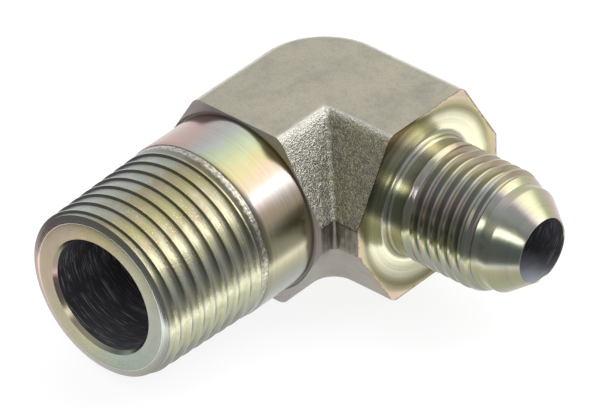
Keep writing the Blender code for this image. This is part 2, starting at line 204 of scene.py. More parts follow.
class Graph:
    """A node tree under construction."""

    def __init__(self, tree: bpy.types.NodeTree) -> None:
        """Keep the tree that the nodes go into."""
        self.tree = tree

    def node(self, kind: str, **settings: object) -> bpy.types.Node:
        """Add a node.

        Args:
            kind: The node's type identifier.
            **settings: Properties of the node.

        Returns:
            The new node.
        """
        made = self.tree.nodes.new(kind)
        for name, value in settings.items():
            setattr(made, name, value)
        return made

    def plug(self, socket: bpy.types.NodeSocket, value: object) -> None:
        """Link a field to an input, or set the input to a constant.

        Args:
            socket: The input.
            value: A field or a constant.
        """
        if isinstance(value, Field):
            self.tree.links.new(value.socket, socket)
        else:
            socket.default_value = value

    def field(self, socket: bpy.types.NodeSocket) -> Field:
        """Wrap an output socket."""
        return Field(self, socket)

    def math(self, operation: str, *values: Operand, clamp: bool = False) -> Field:
        """Add a Math node.

        Args:
            operation: The node's operation.
            *values: Fields or numbers for its inputs, in order.
            clamp: Whether the result is kept between 0 and 1.

        Returns:
            The node's result.
        """
        made = self.node("ShaderNodeMath", operation=operation, use_clamp=clamp)
        for socket, value in zip(made.inputs, values):
            self.plug(socket, value)
        return self.field(made.outputs[0])

    def smooth_step(self, value: Operand, low: Operand, high: Operand) -> Field:
        """Map a value to a smooth step from 0 to 1.

        Args:
            value: What is mapped.
            low: Where the step is 0. It may be the higher number.
            high: Where the step is 1.

        Returns:
            The share.
        """
        made = self.node("ShaderNodeMapRange", interpolation_type="SMOOTHSTEP")
        self.plug(made.inputs["Value"], value)
        self.plug(made.inputs["From Min"], low)
        self.plug(made.inputs["From Max"], high)
        return self.field(made.outputs["Result"])

    def vector(self, x: Operand, y: Operand, z: Operand) -> Field:
        """Combine three numbers into a vector.

        Args:
            x: The first number.
            y: The second number.
            z: The third number.

        Returns:
            The vector.
        """
        made = self.node("ShaderNodeCombineXYZ")
        for socket, value in zip(made.inputs, (x, y, z)):
            self.plug(socket, value)
        return self.field(made.outputs[0])

    def split(self, vector: Field) -> tuple[Field, Field, Field]:
        """Split a vector into its three numbers.

        Args:
            vector: The vector.

        Returns:
            Its numbers, in order.
        """
        made = self.node("ShaderNodeSeparateXYZ")
        self.plug(made.inputs[0], vector)
        x, y, z = (self.field(socket) for socket in made.outputs)
        return x, y, z

    def noise(
        self,
        at: Field,
        scale: float,
        detail: float = 2.0,
        roughness: float = 0.5,
        distortion: float = 0.0,
        dimensions: str = "3D",
    ) -> Field:
        """Add a Noise Texture.

        Args:
            at: Where it is read: a vector, or a number if it has one dimension.
            scale: Cells to the metre.
            detail: Octaves.
            roughness: Share that each octave keeps of the one before.
            distortion: How far the noise bends itself.
            dimensions: "1D" or "3D".

        Returns:
            The noise, about 0.5 on average.
        """
        made = self.node("ShaderNodeTexNoise", noise_dimensions=dimensions)
        self.plug(made.inputs["W" if dimensions == "1D" else "Vector"], at)
        made.inputs["Scale"].default_value = scale
        made.inputs["Detail"].default_value = detail
        made.inputs["Roughness"].default_value = roughness
        made.inputs["Distortion"].default_value = distortion
        return self.field(made.outputs[0])

    def cells(self, at: Field, scale: float, feature: str = "F1") -> Field:
        """Add a Voronoi Texture.

        Args:
            at: Where it is read.
            scale: Cells to the metre.
            feature: Which distance it measures.

        Returns:
            The distance to the cells' points.
        """
        made = self.node("ShaderNodeTexVoronoi", feature=feature)
        self.plug(made.inputs["Vector"], at)
        made.inputs["Scale"].default_value = scale
        return self.field(made.outputs["Distance"])

    def ramp(
        self,
        factor: Operand,
        stops: Sequence[tuple[float, Colour]],
        interpolation: str = "EASE",
    ) -> Field:
        """Add a Color Ramp.

        Args:
            factor: Where the ramp is read, from 0 to 1.
            stops: Positions and linear colours, in order.
            interpolation: The ramp's interpolation.

        Returns:
            The colour.
        """
        made = self.node("ShaderNodeValToRGB")
        self.plug(made.inputs[0], factor)
        elements = made.color_ramp.elements
        made.color_ramp.interpolation = interpolation
        elements[0].position, elements[1].position = stops[0][0], stops[-1][0]
        elements[0].color, elements[1].color = (*stops[0][1], 1.0), (*stops[-1][1], 1.0)
        for position, colour in stops[1:-1]:
            elements.new(position).color = (*colour, 1.0)
        return self.field(made.outputs[0])

    def mix(
        self,
        factor: Operand,
        first: Field | Colour,
        second: Field | Colour,
        blend: str = "MIX",
    ) -> Field:
        """Mix two colours.

        Args:
            factor: Share of the second colour.
            first: A colour, as a field or three numbers.
            second: The other colour.
            blend: The blend mode.

        Returns:
            The mixed colour.
        """
        made = self.node("ShaderNodeMix", data_type="RGBA", blend_type=blend, clamp_factor=True)
        self.plug(made.inputs["Factor"], factor)
        for name, value in (("A", first), ("B", second)):
            sockets = [item for item in made.inputs if item.name == name and item.type == "RGBA"]
            self.plug(sockets[0], value if isinstance(value, Field) else (*value, 1.0))
        return self.field(next(item for item in made.outputs if item.type == "RGBA"))


# Mesh tools


def mesh_object(name: str, mesh: bpy.types.Mesh) -> bpy.types.Object:
    """Put a mesh in a new object at the origin of the scene.

    Args:
        name: Name of the object.
        mesh: Its mesh.

    Returns:
        The object.
    """
    made = bpy.data.objects.new(name, mesh)
    bpy.context.scene.collection.objects.link(made)
    return made


def evaluated_mesh(item: bpy.types.Object, name: str) -> bpy.types.Mesh:
    """Bake what an object's modifiers make.

    Args:
        item: The object, which isn't changed.
        name: Name of the new mesh.

    Returns:
        The plain mesh.
    """
    bpy.context.view_layer.update()
    graph = bpy.context.evaluated_depsgraph_get()
    mesh = bpy.data.meshes.new_from_object(item.evaluated_get(graph), depsgraph=graph)
    mesh.name = name
    return mesh


def from_bmesh(name: str, bm: bmesh.types.BMesh) -> bpy.types.Mesh:
    """Weld a bmesh and turn its faces outwards.

    Args:
        name: Name of the mesh.
        bm: The bmesh, which is freed.

    Returns:
        The mesh.
    """
    bmesh.ops.remove_doubles(bm, verts=bm.verts, dist=WELD_DISTANCE)
    bmesh.ops.recalc_face_normals(bm, faces=bm.faces)
    if bm.calc_volume(signed=True) < 0:
        bmesh.ops.reverse_faces(bm, faces=bm.faces)
    mesh = bpy.data.meshes.new(name)
    bm.to_mesh(mesh)
    bm.free()
    return mesh


def arc(centre: Point, radius: float, start: float, end: float, steps: int) -> list[Point]:
    """Return the points of an arc, both ends included.

    Args:
        centre: Centre of the arc.
        radius: Its radius.
        start: The angle at which it starts, in radians.
        end: The angle at which it ends, in radians.
        steps: How many steps it has.

    Returns:
        The points.
    """
    points = []
    for index in range(steps + 1):
        angle = start + (end - start) * index / steps
        points.append((centre[0] + radius * math.cos(angle), centre[1] + radius * math.sin(angle)))
    return points


def subdivided(points: Sequence[Point], spacing: float) -> list[Point]:
    """Cut the long segments of an open polyline into even steps.

    Args:
        points: Corners of the polyline.
        spacing: Longest step.

    Returns:
        The points, with all corners kept.
    """
    made: list[Point] = []
    for start, end in zip(points, points[1:]):
        count = max(1, math.ceil(math.dist(start, end) / spacing))
        across, along = end[0] - start[0], end[1] - start[1]
        for index in range(count):
            share = index / count
            made.append((start[0] + across * share, start[1] + along * share))
    made.append(points[-1])
    return made


def lathe(name: str, profile: Sequence[Point], steps: int, spacing: float) -> bpy.types.Mesh:
    """Turn a half outline into a closed solid along Z.

    Args:
        name: Name of the mesh.
        profile: (distance, radius) pairs. The first and the last are on the axis.
        steps: Facets round the axis.
        spacing: Longest step along the outline.

    Returns:
        The mesh.
    """
    circle = arc((0.0, 0.0), 1.0, 0.0, 2 * math.pi, steps)[:-1]
    bm = bmesh.new()
    rings = []
    for distance, radius in subdivided(profile, spacing):
        if radius < WELD_DISTANCE:
            ring = [bm.verts.new((0.0, 0.0, distance))] * steps
        else:
            ring = [bm.verts.new((radius * x, radius * y, distance)) for x, y in circle]
        rings.append(ring)
    for ring, following in zip(rings, rings[1:]):
        for index in range(steps):
            after = (index + 1) % steps
            around = dict.fromkeys((ring[index], ring[after], following[after], following[index]))
            if len(around) > 2:
                bm.faces.new(list(around))
    return from_bmesh(name, bm)


class Cut(Enum):
    """How one solid changes another."""

    ADD = "UNION"
    REMOVE = "DIFFERENCE"
    KEEP_INSIDE = "INTERSECT"


@dataclass
class Solid:
    """A closed mesh that other solids are added to and cut from."""

    name: str
    mesh: bpy.types.Mesh

    def dressed(self, material: bpy.types.Material) -> Solid:
        """Give every face one material.

        Args:
            material: The material.

        Returns:
            This solid.
        """
        self.mesh.materials.clear()
        self.mesh.materials.append(material)
        return self

    def placed(self, matrix: Matrix) -> Solid:
        """Move the mesh itself, so that its object can stay at the origin, and return this solid."""
        self.mesh.transform(matrix)
        return self

    def combine(self, cut: Cut, other: Solid) -> Solid:
        """Add, remove or intersect another solid.

        Args:
            cut: What happens to this solid.
            other: The other solid, which isn't changed.

        Returns:
            This solid, with its mesh replaced.
        """
        base = mesh_object(self.name, self.mesh)
        tool = mesh_object(other.name, other.mesh)
        boolean = base.modifiers.new(cut.name.lower(), "BOOLEAN")
        boolean.operation = cut.value
        boolean.object = tool
        boolean.solver = "MANIFOLD"
        boolean.material_mode = "TRANSFER"
        self.mesh = evaluated_mesh(base, self.name)
        for item in (base, tool):
            bpy.data.objects.remove(item)
        return self


def loft(name: str, rings: Sequence[Sequence[Vector]]) -> Solid:
    """Join rings of points into a closed solid with flat ends.

    Args:
        name: Name of the solid.
        rings: The rings from the lower end to the upper, each with as many points.

    Returns:
        The solid.
    """
    bm = bmesh.new()
    made = [[bm.verts.new(point) for point in ring] for ring in rings]
    for lower, upper in zip(made, made[1:]):
        for index, here in enumerate(lower):
            after = (index + 1) % len(lower)
            bm.faces.new((here, lower[after], upper[after], upper[index]))
    bm.faces.new(list(reversed(made[0])))
    bm.faces.new(made[-1])
    return Solid(name, from_bmesh(name, bm))


def outward_normals(plan: Sequence[Point]) -> list[Vector]:
    """Return the outward normals at the points of a closed plan.

    Args:
        plan: The points, anticlockwise.

    Returns:
        One level normal for each point.
    """
    normals = []
    for index in range(len(plan)):
        ahead = plan[(index + 1) % len(plan)]
        behind = plan[index - 1]
        normals.append(Vector((ahead[1] - behind[1], behind[0] - ahead[0], 0.0)).normalized())
    return normals


# Turned threads, made by one Geometry Nodes tree


@dataclass(frozen=True)
class ThreadForm:
    """One screw thread, with the fade of its groove and the tears of its die.

    Along a pitch its section is a flat crest, a straight flank, a hollow floor and a flank again.
    The groove fades in over the run-out, and the tears fade out over their length.
    """

    start: float
    end: float
    pitch: float
    major_radius: float
    taper: float
    crest_flat: float
    floor_radius: float
    floor_half_width: float
    runout_start: float
    runout: float
    steps_around: int
    steps_per_pitch: int
    chatter: float = 0.006 * MM
    tear_depth: float = 0.0
    tear_length: float = 1.0 * MM
    seed: float = 3.0
    flank_angle: float = math.radians(30.0)

    def half_groove(self) -> float:
        """Return half the width of the groove at the crest."""
        return (self.pitch - self.crest_flat) / 2

    def depth(self) -> float:
        """Return how deep the middle of the hollow floor lies below the crest."""
        hollow = self.floor_radius - math.sqrt(self.floor_radius**2 - self.floor_half_width**2)
        return hollow + (self.half_groove() - self.floor_half_width) / math.tan(self.flank_angle)


class ThreadTree:
    """The Geometry Nodes tree that turns a grid into a closed threaded rod along Z."""

    LENGTHS = ("Start", "End", "Pitch", "Major Radius", "Taper", "Run-out Start", "Run-out")
    FINISH = ("Chatter", "Tear Depth", "Tear Length", "Seed")
    COUNTS = ("Steps Around", "Steps per Pitch")

    # The grid starts some turns before the rod and has some to spare. What lies past an end of the
    # rod is pressed flat on it. Whole turns are added to the phase to keep it above 0.
    TURNS_BEFORE = 2.0
    SPARE_TURNS = 3.0
    PHASE_LIFT = 8.0

    # Scales of the chatter and of the tears: cells to the rod's radius, and cells to the metre.
    GRAIN = (9.0, 1600.0)
    TEARS = (24.0, 2600.0)

    def __init__(self, form: ThreadForm) -> None:
        """Build the tree for the section of one thread.

        Args:
            form: The thread.
        """
        self.form = form
        self.tree = bpy.data.node_groups.new("threaded_rod", "GeometryNodeTree")
        self.graph = Graph(self.tree)
        self._declare()
        self._wire()

    def _declare(self) -> None:
        interface = self.tree.interface
        interface.new_socket("Geometry", in_out="INPUT", socket_type="NodeSocketGeometry")
        for name in self.LENGTHS + self.FINISH:
            interface.new_socket(name, in_out="INPUT", socket_type="NodeSocketFloat")
        for name in self.COUNTS:
            interface.new_socket(name, in_out="INPUT", socket_type="NodeSocketInt")
        interface.new_socket("Material", in_out="INPUT", socket_type="NodeSocketMaterial")
        interface.new_socket("Geometry", in_out="OUTPUT", socket_type="NodeSocketGeometry")

    def _section(self, phase: Field) -> Field:
        """Return how deep the section is at a place along one pitch.

        Args:
            phase: The place, from 0 to 1.

        Returns:
            The depth below the crest.
        """
        form = self.form
        graph = self.graph
        middle = (1 + form.crest_flat / form.pitch) / 2
        aside = graph.math("ABSOLUTE", phase - middle) * form.pitch
        hollow = graph.math("SQRT", graph.math("MAXIMUM", form.floor_radius**2 - aside * aside, 0.0))
        floor = hollow + (form.depth() - form.floor_radius)
        flank = form.half_groove() - aside
        straight = flank / math.tan(form.flank_angle)
        on_floor = graph.math("LESS_THAN", aside, form.floor_half_width)
        groove = floor * on_floor + straight * (1.0 - on_floor)
        return graph.math("MAXIMUM", groove, 0.0)

    def _wire(self) -> None:
        """Wire the grid, its wrapping round the axis and the finish of the result."""
        graph = self.graph
        source = graph.node("NodeGroupInput")
        names = self.LENGTHS + self.FINISH + self.COUNTS
        value = {name: graph.field(source.outputs[name]) for name in names}
        start, end, pitch = value["Start"], value["End"], value["Pitch"]
        around, per_pitch = value["Steps Around"], value["Steps per Pitch"]

        turns = graph.math("CEIL", (end - start) / pitch) + self.SPARE_TURNS
        rows = turns * per_pitch
        grid = graph.node("GeometryNodeMeshGrid")
        graph.plug(grid.inputs["Size X"], rows)
        graph.plug(grid.inputs["Size Y"], around)
        graph.plug(grid.inputs["Vertices X"], rows + 1.0)
        graph.plug(grid.inputs["Vertices Y"], around + 1.0)

        position = graph.node("GeometryNodeInputPosition")
        x, y, _ = graph.split(graph.field(position.outputs[0]))
        row = graph.math("ROUND", x + rows / 2.0)
        column = graph.math("ROUND", y + around / 2.0)
        share = column / around
        angle = share * (2 * math.pi)
        raw = start + (row / per_pitch - self.TURNS_BEFORE + share) * pitch
        height = graph.math("MINIMUM", graph.math("MAXIMUM", raw, start), end)
        phase = graph.math("FRACT", (height - start) / pitch - share + self.PHASE_LIFT)

        fade = (height - start - value["Run-out Start"]).step(0.0, value["Run-out"])
        drop = self._section(phase) * fade
        radius = value["Major Radius"] - value["Taper"] * (height - start) - drop

        cosine = graph.math("COSINE", angle)
        sine = graph.math("SINE", angle)
        round_scale, long_scale = self.GRAIN
        place = graph.vector(
            cosine * round_scale, sine * round_scale, height * long_scale + value["Seed"]
        )
        grain = graph.noise(place, 1.0, detail=3.0, roughness=0.6) - 0.5
        round_scale, long_scale = self.TEARS
        place = graph.vector(
            cosine * round_scale, sine * round_scale, height * long_scale + value["Seed"]
        )
        tear = graph.noise(place, 1.0, detail=2.0, roughness=0.6).step(0.5, 0.72)
        window = (height - start).step(value["Tear Length"], 0.0)
        radius = radius + grain * value["Chatter"] * 2.0 - tear * window * value["Tear Depth"]

        first = graph.math("LESS_THAN", row, 0.5)
        last = graph.math("GREATER_THAN", row, rows - 0.5)
        radius = radius * (1.0 - first) * (1.0 - last)

        placed = graph.node("GeometryNodeSetPosition")
        graph.tree.links.new(grid.outputs["Mesh"], placed.inputs["Geometry"])
        graph.plug(placed.inputs["Position"], graph.vector(radius * cosine, radius * sine, height))
        welded = graph.node("GeometryNodeMergeByDistance")
        welded.inputs["Distance"].default_value = WELD_DISTANCE
        graph.tree.links.new(placed.outputs[0], welded.inputs[0])
        realized = graph.node("GeometryNodeRealizeInstances")
        graph.tree.links.new(welded.outputs[0], realized.inputs[0])
        painted = graph.node("GeometryNodeSetMaterial")
        graph.tree.links.new(realized.outputs[0], painted.inputs["Geometry"])
        graph.tree.links.new(source.outputs["Material"], painted.inputs["Material"])
        result = graph.node("NodeGroupOutput")
        graph.tree.links.new(painted.outputs[0], result.inputs[0])

    def rod(self, name: str, material: bpy.types.Material) -> Solid:
        """Run the tree and return the rod as a plain closed solid.

        Args:
            name: Name of the solid.
            material: What the rod is dressed in.

        Returns:
            The rod, along Z from its start to its end.
        """
        form = self.form
        carrier = mesh_object(name, bpy.data.meshes.new(name))
        modifier = carrier.modifiers.new("thread", "NODES")
        modifier.node_group = self.tree
        values = {
            "Start": form.start,
            "End": form.end,
            "Pitch": form.pitch,
            "Major Radius": form.major_radius,
            "Taper": form.taper,
            "Run-out Start": form.runout_start,
            "Run-out": form.runout,
            "Chatter": form.chatter,
            "Tear Depth": form.tear_depth,
            "Tear Length": form.tear_length,
            "Seed": form.seed,
            "Steps Around": form.steps_around,
            "Steps per Pitch": form.steps_per_pitch,
            "Material": material,
        }
        for item in self.tree.interface.items_tree:
            if item.item_type == "SOCKET" and item.in_out == "INPUT" and item.name in values:
                modifier[item.identifier] = values[item.name]
        carrier.update_tag()
        mesh = evaluated_mesh(carrier, name)
        bpy.data.objects.remove(carrier)
        bm = bmesh.new()
        bm.from_mesh(mesh)
        return Solid(name, from_bmesh(name, bm)).dressed(material)


# Finishes


SCRATCH_TONES: tuple[Colour, Colour, Colour] = ((0.84, 0.84, 0.86), (1.0, 1.0, 1.0), (1.1, 1.1, 1.07))
FORGED_TONES: Tones = ((0.3, (0.80, 0.80, 0.82)), (0.5, (1.0, 1.0, 1.0)), (0.72, (1.14, 1.13, 1.07)))
# Random speckle in tone for the peened flanks; its bright end is a painted sparkle.
SPECKLE_AND_SPARKLE_TONES: Tones = ((0.36, (0.55, 0.55, 0.56)), (0.5, (1.0, 1.0, 1.0)), (0.64, (1.55, 1.5, 1.4)))
SHEARED_TONES: Tones = ((0.35, (0.62, 0.6, 0.6)), (0.65, (1.25, 1.22, 1.2)))
# The tint of the painted glints.
PAINTED_GLINT_TINT: Colour = (0.80, 0.72, 0.48)
# Dark tint of the painted shade on the thread flanks, and of the dark shreds in the die's tears.
SHADE_AND_TEAR_TINT: Colour = (0.11, 0.11, 0.09)
TORN_TINT: Colour = (0.56, 0.56, 0.54)
# The tint of the painted highlight along the upper part of the forged flanks.
PAINTED_HIGHLIGHT_TINT: Colour = (0.64, 0.63, 0.58)
BURR_TINT: Colour = (0.13, 0.10, 0.06)
SPECK_TINT: Colour = (0.17, 0.155, 0.12)

# How much of a normal lies along the arm where a surface begins to count as a face, and where it is one.
FACE_ON: Point = (0.90, 0.97)

# Where the painted glints and the painted light and shade of the lower flanks show round an arm: the
# radians over which they come in and go out.
PAINTED_GLINT_ARC: tuple[Point, Point] = ((0.35, 0.8), (1.9, 1.4))
PAINTED_FLANK_ARC: tuple[Point, Point] = ((-0.6, -0.2), (0.42, 0.12))


@dataclass(frozen=True)
class Finish:
    """What all finishes of the plated steel share."""

    name: str
    roughness: float

    def _start(self) -> tuple[bpy.types.Material, Graph, bpy.types.Node, Field]:
        """Make an empty metallic material.

        Returns:
            The material, its graph, its shader and the object coordinates.
        """
        material = bpy.data.materials.new(self.name)
        material.use_nodes = True
        graph = Graph(material.node_tree)
        shader = material.node_tree.nodes["Principled BSDF"]
        shader.inputs["Metallic"].default_value = 1.0
        place = graph.node("ShaderNodeTexCoord")
        return material, graph, shader, graph.field(place.outputs["Object"])

    @staticmethod
    def _bump(
        graph: Graph,
        shader: bpy.types.Node,
        height: Field,
        distance: float,
        strength: float = 1.0,
    ) -> None:
        """Feed a relief to the shader's normal.

        Args:
            graph: The material's graph.
            shader: Its shader.
            height: The relief, in shares of a distance.
            distance: What a height of 1 stands for.
            strength: How much of the relief shows.
        """
        bump = graph.node("ShaderNodeBump")
        bump.inputs["Strength"].default_value = strength
        bump.inputs["Distance"].default_value = distance
        graph.plug(bump.inputs["Height"], height)
        graph.plug(shader.inputs["Normal"], graph.field(bump.outputs["Normal"]))


@dataclass(frozen=True)
class ForgedFinish(Finish):
    """The forged skin: a fine mottle on the flats, coarse peening above the parting line, smooth below.

    Its painted highlight lightens the upper part of the flanks that don't face along the pipe arm.
    Scales are in cells to the metre.
    """

    bore_height: float = 0.0
    flat_tint: Colour = (0.345, 0.325, 0.262)
    flank_tint: Colour = (0.44, 0.43, 0.385)
    # Darker olive tint of the painted shade on the flanks that face along the pipe arm.
    olive_painted_shade_tint: Colour = (0.37, 0.35, 0.245)
    lower_tint: Colour = (0.34, 0.315, 0.27)
    patch_scale: float = 220.0
    mottle_scale: float = 900.0
    dent_scale: float = 1700.0
    speck_scale: float = 2600.0
    painted_glint_scale: float = 3300.0
    peen_scale: float = 5600.0
    grain_scale: float = 6500.0
    dent_depth: float = 0.17 * MM
    peened_gloss: float = 0.24
    painted_highlight_from: float = 6.5 * MM
    painted_highlight_to: float = 10.8 * MM

    def material(self) -> bpy.types.Material:
        """Build the material."""
        material, graph, shader, place = self._start()
        geometry = graph.node("ShaderNodeNewGeometry")
        ahead, _, up = graph.split(graph.field(geometry.outputs["Normal"]))
        rise = graph.split(place)[2] - self.bore_height
        flat = graph.math("ABSOLUTE", up).step(0.93, 0.995)
        peened = rise.step(0.0, 1.0 * MM) * (1.0 - flat)

        mottle = graph.noise(place, self.mottle_scale, detail=4.0, roughness=0.6)
        patches = graph.noise(place, self.patch_scale, detail=3.0, roughness=0.55)
        dents = graph.noise(place, self.dent_scale, detail=4.0, roughness=0.7)
        grain = graph.noise(place, self.grain_scale, detail=2.0, roughness=0.7)
        peen = graph.cells(place, self.peen_scale, feature="SMOOTH_F1")
        coarse = peen * 0.45 + dents + grain * 0.35
        shallow = mottle * 0.22 + grain * 0.16
        self._bump(graph, shader, shallow + coarse * peened, self.dent_depth)

        # Painted shade: the flanks that face along the pipe arm are tinted a darker olive.
        olive_painted_shade = ahead.step(0.35, 0.7) * (0.6 + (patches - 0.5) * 1.2)
        flank = graph.mix(olive_painted_shade, self.flank_tint, self.olive_painted_shade_tint)
        tint = graph.mix(peened, graph.mix(flat, self.lower_tint, self.flat_tint), flank)
        shade = graph.ramp(patches * 0.6 + mottle * 0.4, FORGED_TONES, "LINEAR")
        colour = graph.mix(1.0, tint, shade, "MULTIPLY")
        specks = graph.cells(place, self.speck_scale).step(0.5, 0.12)
        colour = graph.mix(specks * 0.25 * flat, colour, SPECK_TINT)
        # On the peened flanks a random speckle in tone, whose bright end is a painted sparkle.
        speckle_and_sparkle = graph.ramp(grain * 0.6 + dents * 0.4, SPECKLE_AND_SPARKLE_TONES, "LINEAR")
        colour = graph.mix(peened, colour, graph.mix(1.0, colour, speckle_and_sparkle, "MULTIPLY"))
        # Painted highlight: the upper part of the flanks that don't face along the pipe arm is lightened.
        painted_highlight = rise.step(self.painted_highlight_from, self.painted_highlight_to) * (1.0 - ahead.step(0.2, 0.6)) * peened
        colour = graph.mix(painted_highlight * 0.55, colour, PAINTED_HIGHLIGHT_TINT)
        # Painted glints: bright specks on the peened flanks.
        painted_glints = graph.cells(place, self.painted_glint_scale).step(0.28, 0.10) * peened
        graph.plug(shader.inputs["Base Color"], graph.mix(painted_glints * 0.6, colour, PAINTED_GLINT_TINT))
        roughness = self.roughness - peened * self.peened_gloss + (mottle - 0.5) * 0.12
        graph.plug(shader.inputs["Roughness"], roughness)
        return material


@dataclass(frozen=True)
class ShearedFinish(Finish):
    """The band that the trimming die shears, with strokes across the parting line."""

    tint: Colour = (0.25, 0.235, 0.195)
    stroke_scale: float = 2600.0
    stroke_stretch: float = 0.12
    tear_scale: float = 1500.0
    depth: float = 0.10 * MM

    def material(self) -> bpy.types.Material:
        """Build the material."""
        material, graph, shader, place = self._start()
        x, y, z = graph.split(place)
        drawn = graph.vector(x, y, z * self.stroke_stretch)
        strokes = graph.noise(drawn, self.stroke_scale, detail=3.0, roughness=0.6)
        tears = graph.noise(place, self.tear_scale, detail=3.0, roughness=0.6)
        self._bump(graph, shader, strokes * 0.8 + tears * 0.4, self.depth, 0.9)
        shade = graph.ramp(strokes * 0.5 + tears * 0.5, SHEARED_TONES, "LINEAR")
        graph.plug(shader.inputs["Base Color"], graph.mix(1.0, self.tint, shade, "MULTIPLY"))
        shader.inputs["Roughness"].default_value = self.roughness
        return material


@dataclass(frozen=True)
class TurnedPlace:
    """Where a shaded point lies on a turned arm, with two slow noises."""

    graph: Graph
    place: Field
    along: Field
    side: Field
    rise: Field
    radius: Field
    angle: Field
    facing: Field
    leaning: Field
    drift: Field
    cloud: Field

    @classmethod
    def measure(cls, graph: Graph, place: Field, arm: Arm, bore_height: float) -> TurnedPlace:
        """Add the nodes that measure the place.

        Args:
            graph: The tree that the nodes go into.
            place: The object coordinates.
            arm: The arm that the surface was turned on.
            bore_height: Height of the bores above the lower flat.

        Returns:
            The measures.
        """
        x, y, z = graph.split(place)
        along, side = (x, y) if arm is Arm.PIPE else (y, x)
        axis = 0 if arm is Arm.PIPE else 1
        rise = z - bore_height
        geometry = graph.node("ShaderNodeNewGeometry")
        return cls(
            graph=graph,
            place=place,
            along=along,
            side=side,
            rise=rise,
            radius=graph.math("SQRT", side * side + rise * rise),
            angle=graph.math("ARCTAN2", rise, side),
            facing=graph.split(graph.field(geometry.outputs["True Normal"]))[axis],
            leaning=graph.split(graph.field(geometry.outputs["Normal"]))[axis],
            drift=graph.noise(place, 120.0, detail=3.0, roughness=0.5) - 0.5,
            cloud=graph.noise(place, 420.0, detail=4.0, roughness=0.55, distortion=0.6),
        )

    def within(self, rising: Point, falling: Point) -> Field:
        """Return 1 on an arc round the arm and 0 off it, with soft ends.

        Args:
            rising: The radians over which it goes from 0 to 1.
            falling: The radians over which it goes to 0 again, the outer one first.

        Returns:
            The share.
        """
        return self.angle.step(*rising) * self.angle.step(*falling)


